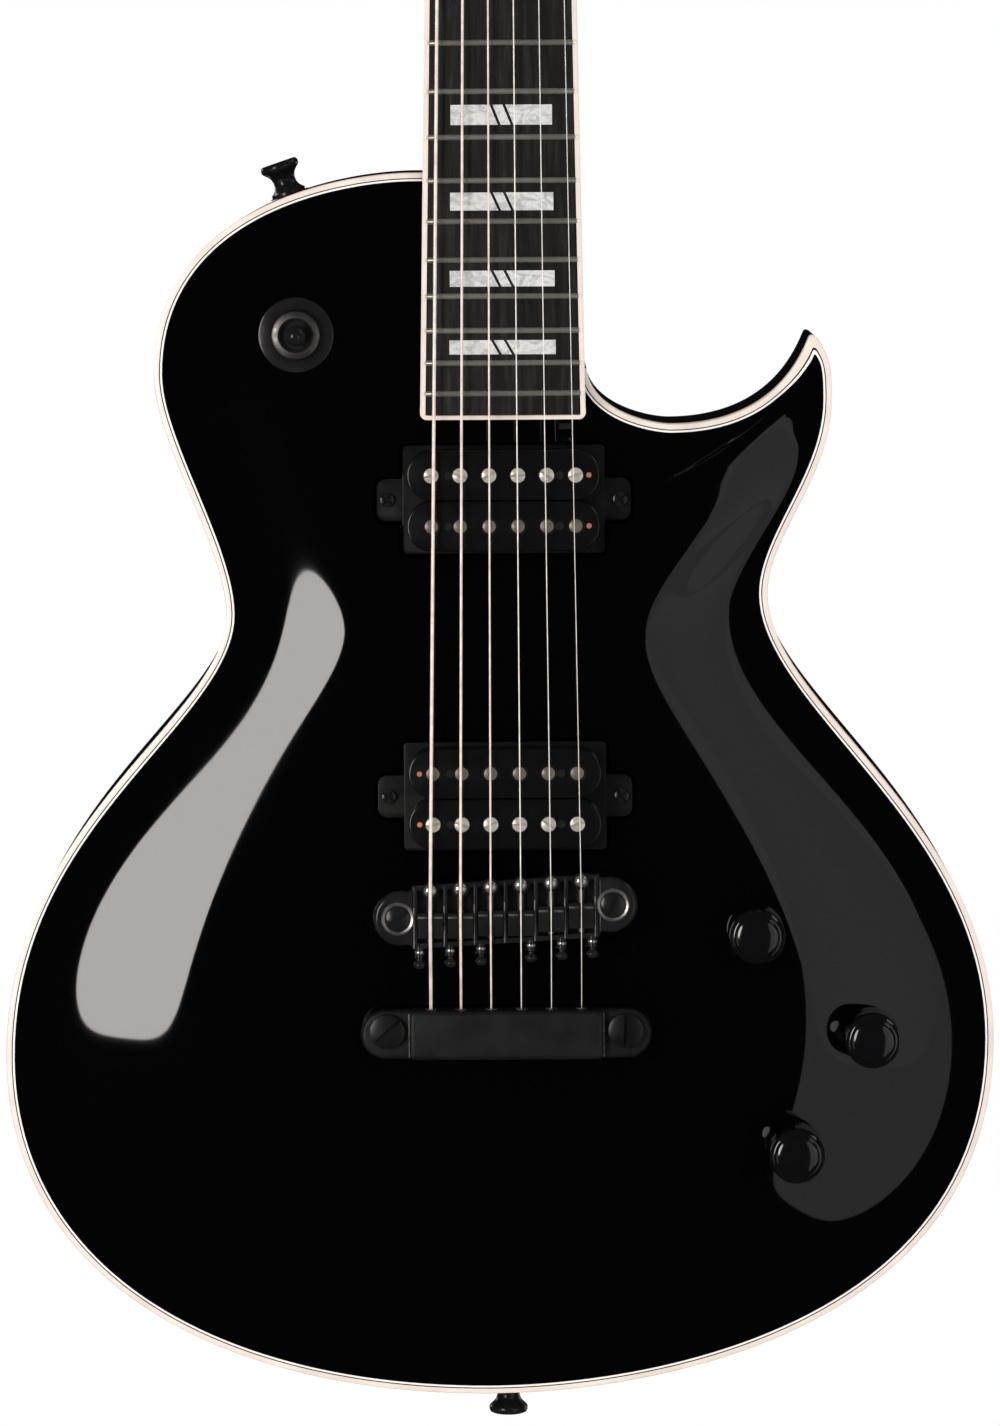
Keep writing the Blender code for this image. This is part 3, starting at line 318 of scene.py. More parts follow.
class Shape:
    """Gathers parts in one mesh."""

    def __init__(self):
        self.made = bmesh.new()
        self.looks = []

    def index(self, look):
        if look not in self.looks:
            self.looks.append(look)
        return self.looks.index(look)

    def cover(self, loops, look):
        """Faces over loops of corners, with one look and normals outwards."""
        faces = [self.made.faces.new(loop) for loop in loops]
        for face in faces:
            face.material_index = self.index(look)
        bmesh.ops.recalc_face_normals(self.made, faces=faces)
        return self

    def skin(self, rings, look, place=WORLD, caps=True):
        """Loft through closed rings of points in millimetres."""
        rows = [[self.made.verts.new(place @ (Vector(p) * MM)) for p in ring] for ring in rings]
        loops = []
        for lower, upper in zip(rows, rows[1:]):
            for i in range(len(lower)):
                j = (i + 1) % len(lower)
                loops.append((lower[i], lower[j], upper[j], upper[i]))
        if caps:
            loops += [rows[0], rows[-1]]
        return self.cover(loops, look)

    def prism(self, outline, front, back, look, place=WORLD, bevel=0.0, both=False):
        """Flat piece from (x, z) points between two heights towards the viewer, with a rounded front edge.

        With both, its back edge is bevelled too.
        """
        rings = []
        for i in range(4 if bevel else 0):
            a = pi / 8 * i
            rings.append((shifted(outline, -bevel * (1 - sin(a))), front - bevel * (1 - cos(a))))
        rings += [(outline, front - bevel), (outline, back + (bevel if both else 0.0))]
        if both:
            rings += [(shifted(outline, -bevel * 0.3), back + bevel * 0.3), (shifted(outline, -bevel), back)]
        return self.skin([[(x, -h, z) for x, z in ring] for ring, h in rings], look, place)

    def turn(self, profile, look, place=WORLD, steps=32, squash=1.0):
        """Turned part: (radius, height) from the top down its outer side, along the place's Z."""
        rows = []
        for r, h in profile:
            ring = [(r * x, r * y * squash, h) for x, y in circle(1, steps if r else 1)]
            row = [self.made.verts.new(place @ (Vector(p) * MM)) for p in ring]
            rows.append(row if r else row * steps)
        loops = []
        for upper, lower in zip(rows, rows[1:]):
            for i in range(steps):
                j = (i + 1) % steps
                ring = list(dict.fromkeys((upper[i], upper[j], lower[j], lower[i])))
                if len(ring) > 2:
                    loops.append(ring)
        return self.cover(loops, look)

    def box(self, low, high, look, place=WORLD, bevel=0.3):
        """Box between two corners, with all its edges eased."""
        (x0, y0, z0), (x1, y1, z1) = low, high
        half_x, half_z = (x1 - x0) / 2, (z1 - z0) / 2
        bevel = min(bevel, half_x * 0.8, half_z * 0.8, (y1 - y0) * 0.4)
        ring = rounded(half_x, half_z, bevel * 1.12, 3)
        ring = [(x + (x0 + x1) / 2, z + (z0 + z1) / 2) for x, z in ring]
        return self.prism(ring, -y0, -y1, look, place, bevel, both=True)

    def screw(self, place, radius, high, look, slot_angle=0.0, dome=0.35, groove=0.2, cross=False):
        """Screw head that stands on the place's XY plane: a disc, and a domed top split by its slot or cross."""
        base = high * 0.45
        self.turn(((0, base), (radius, base), (radius, 0), (0, 0)), look, place, 32)
        half = radius * groove
        parts = []
        if cross:
            for sx, sz in ((1, 1), (1, -1), (-1, 1), (-1, -1)):
                ring = []
                for i in range(9):
                    a = radians(90 * i / 8)
                    ring.append((sx * max(half, radius * cos(a)), sz * max(half, radius * sin(a))))
                ring = list(dict.fromkeys(ring + [(sx * half, sz * half)]))
                parts.append((ring, [(x * 0.8, y * 0.8) for x, y in ring]))
        else:
            start = asin(groove)
            for side in (1, -1):
                angles = [start + (pi - 2 * start) * i / 16 for i in range(17)]
                ring = [(radius * cos(a), side * radius * sin(a)) for a in angles]
                parts.append((ring, [(x * 0.8, side * max(half, abs(y) * 0.8)) for x, y in ring]))
        for ring, top in parts:
            rings = [[(x, y, base) for x, y in ring], [(x, y, high - dome * radius * 0.3) for x, y in ring],
                     [(x, y, high) for x, y in top]]
            self.skin(rings, look, at(place, turn=(0, 0, slot_angle)))
        return self

    def mesh(self, name):
        made = bpy.data.meshes.new(name)
        self.made.to_mesh(made)
        self.made.free()
        for look in self.looks:
            made.materials.append(look.material)
        return made

    def done(self, name, slot, node, rider="guitar", sharp=SHARP):
        """Finished piece, which stands for a CAD node and rides on a body."""
        mesh = self.mesh(name)
        mesh.shade_smooth()
        mesh.set_sharp_from_angle(angle=radians(sharp))
        thing = bpy.data.objects.new(name, mesh)
        scene.collection.objects.link(thing)
        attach(thing, rider)
        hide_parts(node)
        return thing


def cut(thing, shape):
    """Take a shape out of a piece for good."""
    hollow = bpy.data.objects.new("cutter", shape.mesh("cutter"))
    scene.collection.objects.link(hollow)
    step = thing.modifiers.new("cut", "BOOLEAN")
    step.operation, step.solver, step.object = "DIFFERENCE", "EXACT", hollow
    graph = bpy.context.evaluated_depsgraph_get()
    mesh = bpy.data.meshes.new_from_object(thing.evaluated_get(graph))
    thing.modifiers.clear()
    thing.data = mesh
    mesh.shade_smooth()
    mesh.set_sharp_from_angle(angle=radians(SHARP))
    bpy.data.objects.remove(hollow)


# ---- Body outlines ----
def halved(knots):
    """The same closed curve with a knot added in the middle of each curved span but the horn's tip."""
    fine = []
    enter = knots[0][3] / 2
    for i, (x, z, heading, _enter, leave, count) in enumerate(knots):
        x2, z2, heading2, enter2 = knots[(i + 1) % len(knots)][:4]
        a, b = radians(heading), radians(heading2)
        if i == HORN_TIP or leave == enter2 == 0.0:
            fine.append((x, z, heading, enter, leave, count))
            enter = enter2
            continue
        one, two = Vector((x, z)), Vector((x2, z2))
        out, back = one + leave * Vector((cos(a), sin(a))), two - enter2 * Vector((cos(b), sin(b)))
        left, right = (one + 2 * out + back) / 4, (out + 2 * back + two) / 4
        half = (left + right) / 2
        way = right - half
        fine.append((x, z, heading, enter, leave / 2, count))
        fine.append((half.x, half.y, degrees(atan2(way.y, way.x)), way.length, way.length, count))
        enter = enter2 / 2
    return fine


def inset(knots):
    """Knots moved in by the width of the binding, with their handles scaled to match."""
    moved = []
    for x, z, heading, *_rest in knots:
        a = radians(heading)
        moved.append(INNER_CORNERS.get((x, z), (x + BINDING_WIDE * sin(a), z - BINDING_WIDE * cos(a))))
    ratios = []
    for i, (x, z) in enumerate(moved):
        x2, z2 = moved[(i + 1) % len(moved)]
        was, was2 = knots[i], knots[(i + 1) % len(knots)]
        ratios.append(hypot(x2 - x, z2 - z) / hypot(was2[0] - was[0], was2[1] - was[1]))
    return [(x, z, knots[i][2], knots[i][3] * ratios[i - 1], knots[i][4] * ratios[i], knots[i][5])
            for i, (x, z) in enumerate(moved)]


def sampled(knots, finer=4):
    """Points along the curve through knots, with finer times the knots' own counts."""
    points = []
    for i, (x, z, heading, _enter, leave, count) in enumerate(knots):
        x2, z2, heading2, enter2 = knots[(i + 1) % len(knots)][:4]
        a, b = radians(heading), radians(heading2)
        if leave == enter2 == 0.0:
            points.append((x, z))
            continue
        handle = (x + leave * cos(a), z + leave * sin(a), 0)
        handle2 = (x2 - enter2 * cos(b), z2 - enter2 * sin(b), 0)
        steps = interpolate_bezier((x, z, 0), handle, handle2, (x2, z2, 0), count * finer + 1)
        points += [(p[0], p[1]) for p in steps[:-1]]
    return points


def between(first, second, part_way):
    """Ring that lies part way from one ring to another."""
    return [(a + (c - a) * part_way, b + (d - b) * part_way) for (a, b), (c, d) in zip(first, second)]


def level(points, high):
    """Flat ring at a height above the rim."""
    return [(x, -high, z) for x, z in points]


outline = halved(OUTLINE)
edge = sampled(outline)
inner = sampled(inset(outline))
plateau = sampled(halved([(*knot, OUTLINE[i][5]) for i, knot in enumerate(PLATEAU)]))
bent_plateau = sampled(halved([(*HORN_BEND.get(i, knot), OUTLINE[i][5]) for i, knot in enumerate(PLATEAU)]))


def carve_height(part_way, z):
    """Height of the carved top: flat at the rim, steepest half way, flat again at the plateau."""
    return (PLATEAU_HIGH - tan(radians(PLATEAU_TILT)) * z) * part_way**2 * (3 - 2 * part_way)


# ---- Body ----
rings = [level(edge, CAP_BOTTOM), level(edge, -BINDING_TALL), level(inner, -BINDING_TALL)]
for i in range(RISE_STEPS + 1):
    part_way = i / RISE_STEPS
    ring = between(inner, between(plateau, bent_plateau, part_way), part_way)
    rings.append([(x, -carve_height(part_way, z), z) for x, z in ring])
top = Shape().skin(rings, LACQUER, RIM).done("carved_top", "lacquered_wood", "body_top")
rings = [level(edge, CAP_BOTTOM - 0.02), level(edge, BODY_BACK + BACK_ROUND)]
for i in range(1, 6):
    a = pi / 2 * i / 5
    rings.append(level(between(edge, inner, 1.35 * (1 - cos(a))), BODY_BACK + BACK_ROUND * (1 - sin(a))))
rear = Shape().skin(rings, LACQUER, RIM).done("body_shell", "lacquered_wood", "body_back")
jack_place = at(RIM, 166.2, 30.0, -62.0)
cut(rear, Shape().box((0, -16.2, -16.2), (20, 16.2, 16.2), LACQUER, jack_place, 2.5))
strip = Shape()
# Start and end of each band of the binding, as parts of its width
BANDS = ((0.0, 0.6, CREAM), (0.6, 0.72, BLACK_LINE), (0.72, 0.93, WHITE_LINE), (0.93, 1.0, BLACK_LINE))
for start, end, look in BANDS:
    one, two = between(edge, inner, start), between(edge, inner, end)
    if start == 0.0:
        corner = [level(one, -0.7), level(between(edge, inner, 0.07), -0.2),
                  level(between(edge, inner, 0.22), 0.03)]
    else:
        corner = [level(one, 0.03)]
    rings = [level(two, -BINDING_TALL), level(one, -BINDING_TALL), *corner, level(two, 0.03)]
    strip.skin(rings + rings[:1], look, RIM, caps=False)
strip.done("edge_binding", "cream_binding", "body_binding")

# ---- Pickups ----
COIL_OFFSET, POLE_SPACING = 8.75, 0.955
SLOT_ANGLES = (12, -20, 28, 5, -35, 18)
# Name, middle, height, side of the coil with screws, place of the copper wire end
PICKUPS = (("neck", 138.9, 7.4, 1, 29.4), ("bridge", 36.4, 10.9, -1, -29.4))
# Half width, half height, corner radius and depth of the two steps of a pickup's cavity
CAVITY = ((36.2, 20.0, 3.5, 22.0), (45.2, 8.6, 4.5, 16.0))
for which, z, high, screw_side, copper_x in PICKUPS:
    middle_place = at(DECK, 0, 0, z)
    for half_x, half_z, radius, deep in CAVITY:
        # The cavity's cutters carry the near-black painted shade look
        cut(top, Shape().prism(rounded(half_x, half_z, radius, 8), 13.0, -deep, PAINTED_SHADE, middle_place))
    base = high - 10.6
    plate = Shape()
    plate.prism(rounded(35.0, 18.8, 1.5), base, base - 1.4, HARDWARE, middle_place, 0.3)
    plate.prism(rounded(44.0, 7.4, 3.4), base - 0.02, base - 1.38, HARDWARE, middle_place, 0.3)
    for side in (-1, 1):
        ear = at(DECK, side * 40.2, -base, z, TO_VIEWER)
        plate.screw(ear, 2.5, 1.5, GLOSS, 35 * side, cross=True)
    plate.done(f"{which}_pickup_plate", "black_hardware", f"{which}_pickup_baseplate")
    for kind, side in (("screw", screw_side), ("slug", -screw_side)):
        row_z = z + side * COIL_OFFSET
        place = at(DECK, 0, 0, row_z)
        ring = rounded(33.3, 8.65, 8.6, 12)
        bobbin = Shape()
        bobbin.prism(ring, high, high - 2.0, BOBBIN, place, 0.7)
        bobbin.prism(shifted(ring, -0.9), high - 1.9, high - 8.6, TAPE, place)
        bobbin.prism(ring, high - 8.5, high - 10.4, BOBBIN, place, 0.4)
        for x, slot_angle in zip(STRING_X, SLOT_ANGLES):
            pole = at(DECK, x * POLE_SPACING, -high, row_z, TO_VIEWER)
            # Painted shade: a dark ring in the gap round each pole
            bobbin.turn(((2.75, 0.04), (3.0, 0.12), (3.0, 0.02), (2.7, 0.02)), PAINTED_SHADE, pole)
            if kind == "screw":
                bobbin.screw(pole, 2.55, 1.1, POLE, slot_angle, groove=0.17)
            else:
                bobbin.turn(((0, 0.35), (1.9, 0.32), (2.3, 0.1), (2.4, -0.2), (0, -0.3)), SLUG, pole)
        # Painted shade: two small dark dots on the bobbin's top
        for x in (-20.0, 20.0):
            bobbin.turn(((0, 0.02), (1.0, 0.04), (1.35, 0.08), (1.45, 0.0), (0, -0.1)), PAINTED_SHADE,
                        at(DECK, x * POLE_SPACING + 0.2, -high, row_z, TO_VIEWER), 20)
        bobbin.turn(((0, 0.3), (0.7, 0.22), (0.95, 0.0), (0, -0.2)), COPPER,
                    at(DECK, copper_x, -high, row_z, TO_VIEWER), 16)
        bobbin.done(f"{which}_pickup_{kind}_coil", "pickup_plastic", f"{which}_pickup_{kind}_bobbin")

# ---- Bridge ----
slant = (BRIDGE_STUDS[1][1] - BRIDGE_STUDS[0][1]) / (BRIDGE_STUDS[1][0] - BRIDGE_STUDS[0][0])
middle = (BRIDGE_STUDS[0][1] + BRIDGE_STUDS[1][1]) / 2


def stud_line(x):
    """Height of the slanted line through both bridge studs."""
    return middle + slant * x


bridge = Shape()
BAR_TOP, BAR_BOTTOM, BAR_FLOOR = 12.2, 6.6, 8.4
for side, (x, z) in zip((-1, 1), BRIDGE_STUDS):
    ring = []
    for i in range(19):
        a = radians(105 - 210 * i / 18)
        ring.append((x - side + side * 9.5 * cos(a), z + 9.5 * sin(a)))
    inner_x = side * 31.6
    ring += [(inner_x, stud_line(inner_x) - 10.4), (inner_x, stud_line(inner_x) + 10.4)]
    bridge.prism(ring, BAR_TOP, BAR_BOTTOM, GLOSS, DECK, 1.6)
    # Painted highlight and wear: a bright ring round the top of each stud
    bridge.turn(((4.55, 0.1), (5.3, 0.3), (5.7, 0.0), (5.7, -0.3), (4.55, -0.3)), WORN_EDGE_AND_HIGHLIGHT,
                at(DECK, x, -BAR_TOP, z, TO_VIEWER), 40)
left, right = -32.2, 32.2
low_left, low_right = stud_line(left), stud_line(right)
for near, far, front, back in ((-10.9, -9.1, BAR_TOP - 0.6, BAR_BOTTOM),
                               (9.1, 10.9, BAR_TOP - 0.6, BAR_BOTTOM), (-9.4, 9.4, BAR_FLOOR, BAR_BOTTOM)):
    ring = [(left, low_left + near), (right, low_right + near),
            (right, low_right + far), (left, low_left + far)]
    bridge.prism(ring, front, back, GLOSS, DECK, 0.35)
for i in range(7):
    x = (i - 3) * 10.4
    z = stud_line(x)
    bridge.box((x - 0.6, -BAR_TOP + 0.1, z - 10.5), (x + 0.6, -BAR_FLOOR + 0.2, z + 10.5), GLOSS, DECK, 0.25)
    # Painted highlight and wear: a bright strip along the top of each wall
    bridge.box((x - 0.62, -BAR_TOP, z - 10.7), (x - 0.2, -BAR_TOP + 0.7, z + 3.5), WORN_EDGE_AND_HIGHLIGHT, DECK, 0.12)
for x in STRING_X:
    z = stud_line(x) + 10.2
    place = at(DECK, x, -BAR_TOP, z - 1.2, TO_VIEWER)
    bridge.turn(((0, 1.2), (1.2, 1.1), (1.9, 0.7), (2.25, 0.0), (2.25, -3.6), (0, -3.6)), STEEL, place)
    bridge.turn(((2.35, 0.1), (2.9, 0.1), (2.9, -3.4), (2.35, -3.4)), GLOSS, place)
    bridge.turn(((1.15, 6.0), (1.15, -11.0)), DULL_STEEL, at(DECK, x, -10.0, z - 8.0), 16)
for x in (-29.8, -19.2, -8.6, 8.6, 19.2, 29.8):
    z = stud_line(x) - 10.6
    bridge.turn(((0, 0.5), (1.5, 0.5), (1.5, -3.4), (1.0, -3.8), (1.0, -4.4), (1.6, -4.9), (2.05, -5.7),
                 (2.05, -6.3), (1.6, -7.1), (0.8, -7.5), (0, -7.6)), GLOSS, at(DECK, x, -10.2, z), 24)
    bridge.turn(((1.56, -1.2), (1.62, -1.4), (1.62, -1.9), (1.56, -2.1)), STEEL, at(DECK, x, -10.2, z), 24)
bridge.done("adjustable_bridge", "black_hardware", "bridge_body")
SADDLE_FLOOR = 8.7
# Across a saddle: place, and how far its top is let down there, for eased edges and the string's notch
SADDLE_CUTS = ((-4.4, 0.5), (-4.0, 0.12), (-2.0, 0.0), (-0.75, 0.0), (0.0, 0.5), (0.75, 0.0), (2.0, 0.0),
               (4.0, 0.12), (4.4, 0.5))
for i, (x, z, radius) in enumerate(zip(STRING_X, BREAK_Z, STRING_RADII), 1):
    crest = STRING_HIGH - radius - STRING_CLEAR
    side = ((1.2, SADDLE_FLOOR), (1.2, crest - 0.7), (0.6, crest - 0.15), (-0.2, crest), (-0.9, crest - 0.1),
            (-7.6, crest - 2.1), (-7.6, SADDLE_FLOOR))
    rings = [[(dx, -(h if h == SADDLE_FLOOR else h - drop), dz) for dz, h in side] for dx, drop in SADDLE_CUTS]
    saddle = Shape().skin(rings, GLOSS, at(DECK, x, 0, z))
    # Painted highlight and wear: bright strips on the saddle's crest beside the notch
    for left, right in ((-4.2, -1.0), (1.0, 4.2)):
        saddle.box((left, -crest + 0.02, -0.55), (right, -crest + 0.5, 0.15), WORN_EDGE_AND_HIGHLIGHT, at(DECK, x, 0, z), 0.1)
    saddle.done(f"saddle_block_{i}", "black_hardware", f"saddle_{i}", f"saddle_{i}", sharp=25)
for side, (x, z), angle in zip(("bass", "treble"), BRIDGE_STUDS, (35, 70)):
    place = at(DECK, x, 0, z, TO_VIEWER)
    post = Shape()
    post.turn(((0, 10.8), (4.4, 10.8), (4.4, 6.2), (6.4, 6.2), (6.4, 4.6), (6.0, 4.0), (3.9, 4.0), (3.9, -26.0),
               (0, -27)), HARDWARE, place, 40)
    post.screw(at(place, 0, 0, 10.6), 4.4, 2.0, GLOSS, angle, groove=0.13)
    post.done(f"bridge_stud_{side}", "black_hardware", f"bridge_post_{side}")

# ---- Stop-bar tailpiece ----
tail = Shape()
tail_place = at(DECK, 0, 0, TAIL_Z)
tail.prism(rounded(50.2, 8.6, 8.5, 12), 10.0, 4.0, SATIN, tail_place, 1.6, both=True)
tail.prism(rounded(33.6, 8.55, 2.1, 5), 14.4, 4.2, SATIN, tail_place, 1.8)
# Painted highlight and wear: bright strips at both ends of the raised block
for x in (-33.4, 33.4):
    tail.box((x - 0.28, -13.0, -7.6), (x + 0.28, -9.9, 7.6), WORN_EDGE_AND_HIGHLIGHT, tail_place, 0.2)
for x in STRING_X:
    hole = at(DECK, x, -8.0, TAIL_Z + 8.6)
    # Painted highlight and wear: a bright ring round each string hole
    tail.turn(((1.5, 0.12), (1.9, 0.12), (2.0, -0.2), (1.5, -0.2)), WORN_EDGE_AND_HIGHLIGHT, hole, 24)
    # Painted shade: a dark disc in each string hole
    tail.turn(((0, 0.06), (1.55, 0.06), (1.55, -0.3)), PAINTED_SHADE, hole, 24)
    tail.turn(((0.9, 0.0), (2.0, 0.0), (2.1, 0.8), (2.0, 1.6), (0.9, 1.6), (0.9, 0.0)), BRASS,
              at(DECK, x, -8.0, TAIL_Z - 8.0), 20)
tail.done("stop_bar", "black_hardware", "tailpiece")
for side, (x, z), angle in zip(("bass", "treble"), TAIL_STUDS, (42, 88)):
    place = at(DECK, x, 0, z, TO_VIEWER)
    stud = Shape()
    stud.turn(((0, 11.4), (6.0, 11.4), (6.0, 10.6), (5.7, 10.4), (3.9, 10.4), (3.9, 3.7), (6.2, 3.7), (6.2, 1.8),
               (4.9, 1.8), (4.9, -24.0), (0, -25)), SATIN, place, 48)
    stud.screw(at(place, 0, 0, 11.3), 6.0, 1.9, HARDWARE, angle, groove=0.1, dome=0.25)
    stud.done(f"tail_stud_{side}", "black_hardware", f"tailpiece_stud_{side}")

# ---- Knobs and toggle switch ----
for i, (x, z, high) in enumerate(KNOBS, 1):
    place = at(RIM, x, 0, z, TO_VIEWER)
    base, crown = high + 0.7, high + 17.7
    profile = [(0, crown)]
    for n in range(1, 11):
        a = pi / 2 * n / 10
        profile.append((7.6 * sin(a), crown - 1.5 * (1 - cos(a))))
    for n in range(1, 9):
        a = pi / 2 * n / 8
        profile.append((7.6 + 2.1 * sin(a), crown - 1.5 - 3.2 * (1 - cos(a))))
    profile += [(9.7, base + 0.5), (9.4, base), (8.0, base), (8.0, base + 4.6), (2.8, base + 4.6), (2.8, -17.0),
                (0, -17.0)]
    Shape().turn(profile, KNOB, place, 64).done(f"knob_cap_{i}", "knob_plastic", f"knob_{i}", f"knob_{i}")
place = at(RIM, SWITCH_X, 0, SWITCH_Z, TO_VIEWER)
high = SWITCH_HIGH
switch = Shape()
switch.turn(((6.0, high + 0.9), (12.4, high + 0.9), (12.85, high + 0.75), (13.0, high + 0.45), (13.0, high),
             (6.0, high)), GLOSS, place, 64)
teeth = [(r * a, r * b) for r, (a, b) in zip((8.35, 8.8) * 48, circle(1, 96))]
switch.skin([[(a, b, high + 0.9) for a, b in teeth], [(a, b, high + 3.4) for a, b in teeth],
             [(a * 0.93, b * 0.93, high + 4.2) for a, b in teeth]], GLOSS, place, caps=False)
switch.turn(((4.8, high + 1.6), (5.75, high + 4.3), (6.1, high + 4.65), (7.3, high + 4.5), (8.2, high + 4.1)),
            DULL_STEEL, place, 48)
# Painted shade: a dark disc in the nut's hole round the lever
switch.turn(((0, high + 1.9), (4.95, high + 1.9)), PAINTED_SHADE, place, 32)
switch.turn(((6.0, high), (6.0, -10.6), (11.0, -10.6), (11.0, -26.0), (0, -26.0)), HARDWARE, place, 32)
switch.done("toggle_housing", "black_hardware", "switch_body")
lever = Shape()
profile = [(0, 22.05)]
for n in range(1, 11):
    a = pi * n / 13
    profile.append((3.65 * sin(a), 18.4 + 3.65 * cos(a)))
profile += [(1.75, 14.2), (1.7, 10.0), (1.9, 3.0), (3.0, 1.6), (3.4, 0.0), (3.0, -1.6), (1.7, -3.0), (0, -3.4)]
lever.turn(profile, GLOSS, at(RIM, SWITCH_X, 4.0, SWITCH_Z, TO_VIEWER), 32)
lever.done("toggle_lever", "black_hardware", "switch_lever", "switch_lever")

# ---- Strap buttons, jack, back covers ----
for which, x, z, lean in (("upper", -74.0, 243.5, 18.9), ("lower", 0.0, -175.4, 180.0)):
    place = at(RIM, x, 25.0, z, (0, -lean, 0))
    button = Shape()
    button.turn(((0, 11.4), (2.7, 11.4), (3.1, 12.0), (5.7, 12.0), (6.4, 11.7), (6.75, 11.0), (6.75, 9.9), (6.4, 9.3),
                 (5.2, 8.2), (4.4, 7.2), (3.9, 5.6), (3.95, 4.2), (4.4, 2.9), (5.3, 1.9), (6.0, 1.4), (6.0, 0.5),
                 (1.9, 0.5), (1.9, -14.0), (0, -15.0)), GLOSS, place, 48)
    button.screw(at(place, 0, 0, 11.3), 2.6, 0.7, DULL_STEEL, 30, cross=True)
    button.turn(((0, 0.45), (6.6, 0.45), (6.7, 0.2), (6.6, 0.05), (0, 0.05)), TAPE, place, 40)
    button.done(f"strap_stud_{which}", "black_hardware", f"strap_button_{which}")
side_on = at(jack_place, turn=(0, 0, 90))
jack = Shape()
jack.prism(rounded(16.0, 16.0, 2.5), 1.6, 0.1, HARDWARE, side_on, 0.4)
for dx in (-12.6, 12.6):
    for dz in (-12.6, 12.6):
        jack.screw(at(side_on, dx, -1.5, dz, TO_VIEWER), 2.2, 0.9, DULL_STEEL, 20, cross=True)
jack.done("jack_cover_plate", "black_hardware", "jack_plate")
socket = Shape()
socket_axis = at(side_on, turn=TO_VIEWER)
socket.turn(((3.3, -16.0), (3.3, 3.2), (3.5, 3.4), (5.4, 3.4), (5.6, 3.1)), STEEL, socket_axis, 40)
socket.prism(circle(6.9, 6), 2.9, 1.6, STEEL, side_on, 0.3)
# Painted shade: a dark disc deep in the socket
socket.turn(((0, -15.9), (3.3, -15.9)), PAINTED_SHADE, socket_axis, 24)
socket.turn(((5.6, 3.1), (5.6, 1.6)), STEEL, socket_axis, 40)
socket.done("jack_socket", "plain_steel", "output_jack")

cover_ring = shifted(CONTROL_COVER, 4.8)
smooth = []
for i in range(len(cover_ring)):
    p0, p1, p2, p3 = [Vector(cover_ring[(i + k) % len(cover_ring)]) for k in (-1, 0, 1, 2)]
    for n in range(6):
        t = n / 6
        smooth.append(tuple(0.5 * (2 * p1 + (p2 - p0) * t + (2 * p0 - 5 * p1 + 4 * p2 - p3) * t**2 +
                                   (3 * p1 - p0 - 3 * p2 + p3) * t**3)))
back = at(RIM, 0, -BODY_BACK, 0, (0, 0, 180))
rear_cover = Shape().prism([(-x, z) for x, z in smooth], 0.5, -0.3, COVER, back, 0.3)
for x, z in shifted(CONTROL_COVER, 1.2)[::2]:
    rear_cover.screw(at(back, -x, -0.45, z, TO_VIEWER), 2.1, 0.8, DULL_STEEL, x * 3, cross=True)
rear_cover.done("rear_control_cover", "cover_plastic", "control_cover")
behind_switch = at(back, -SWITCH_X, 0, SWITCH_Z)
round_cover = Shape().prism(circle(23.8, 64), 0.5, -0.3, COVER, behind_switch, 0.3)
for n in range(3):
    a = radians(90 + 120 * n)
    round_cover.screw(at(behind_switch, 20.6 * cos(a), -0.45, 20.6 * sin(a), TO_VIEWER), 2.1, 0.8, DULL_STEEL,
                      40 * n, cross=True)
round_cover.done("rear_switch_cover", "cover_plastic", "switch_cover")


# ---- Neck and headstock ----
def board_half(distance):
    """Half the fretboard's width at a distance from the nut."""
    return NUT_HALF + (BOARD_END_HALF - NUT_HALF) * distance / BOARD_LENGTH


def section(half, deep, square, z, points=41):
    """Back of the neck across: a half superellipse, squarer for a larger exponent."""
    ring = []
    for i in range(points):
        a = pi * i / (points - 1)
        x = -half * (abs(cos(a)) ** (2 / square)) * (1 if cos(a) >= 0 else -1)
        ring.append((x, deep * abs(sin(a)) ** (2 / square), z))
    return ring


def eased(table, per=6):
    """Rows of numbers with smooth rows between them; the first column runs evenly."""
    rows = []
    for first, second in zip(table, table[1:]):
        for n in range(per):
            t = n / per
            smooth = t * t * (3 - 2 * t)
            rows.append([a + (b - a) * (smooth if j else t) for j, (a, b) in enumerate(zip(first, second))])
    rows.append(list(table[-1]))
    return rows


# Distance from the nut, depth, exponent
NECK_SECTIONS = ((459.3, 38.0, 7.0), (380.0, 38.0, 7.0), (372.0, 34.0, 5.0), (363.0, 25.0, 3.6), (352.0, 19.5, 2.8),
                 (335.0, 17.6, 2.4), (200.0, 16.2, 2.2), (60.0, 15.0, 2.2), (8.0, 15.0, 2.3), (-1.0, 15.6, 2.5))
# Distance from the break, half width
HEAD_SECTIONS = ((2.0, 21.8), (8.0, 25.0), (15.0, 31.5), (23.0, 35.5), (40.0, 36.5), (90.0, 38.5), (140.0, 41.5),
                 (162.0, 43.0), (174.0, 42.0), (182.0, 38.0), (187.0, 30.0), (190.0, 18.0))
rings = [section(board_half(d), deep, square, -d) for d, deep, square in eased(NECK_SECTIONS)]
tilt = radians(HEAD_TILT)
for z, half in eased(HEAD_SECTIONS, 4):
    lean = tilt * min(1.0, z / 15.0)
    ring = section(half, HEAD_THICK + 3.0 * max(0.0, 1 - z / 20.0), 2.6 + min(1.0, z / 23.0) * 6.0, 0.0)
    rings.append([(x, y * cos(lean) + z * sin(tilt), 5.0 + z * cos(tilt) - y * sin(lean)) for x, y, _z in ring])
Shape().skin(rings, NECK_LACQUER, NECK).done("set_neck", "neck_wood", "neck")


# ---- Fretboard, frets, inlays, binding, nut ----
def fret_at(number):
    """Distance of a fret from the nut."""
    return SCALE_LENGTH * (1 - 2 ** (-number / 12))


def board_top(x):
    """Height of the cambered fretboard."""
    return 6.0 - x * x / (2 * BOARD_RADIUS)


INLAID = (1, 3, 5, 7, 9, 12, 15, 17, 19, 21)
FRETS = range(1, 23)

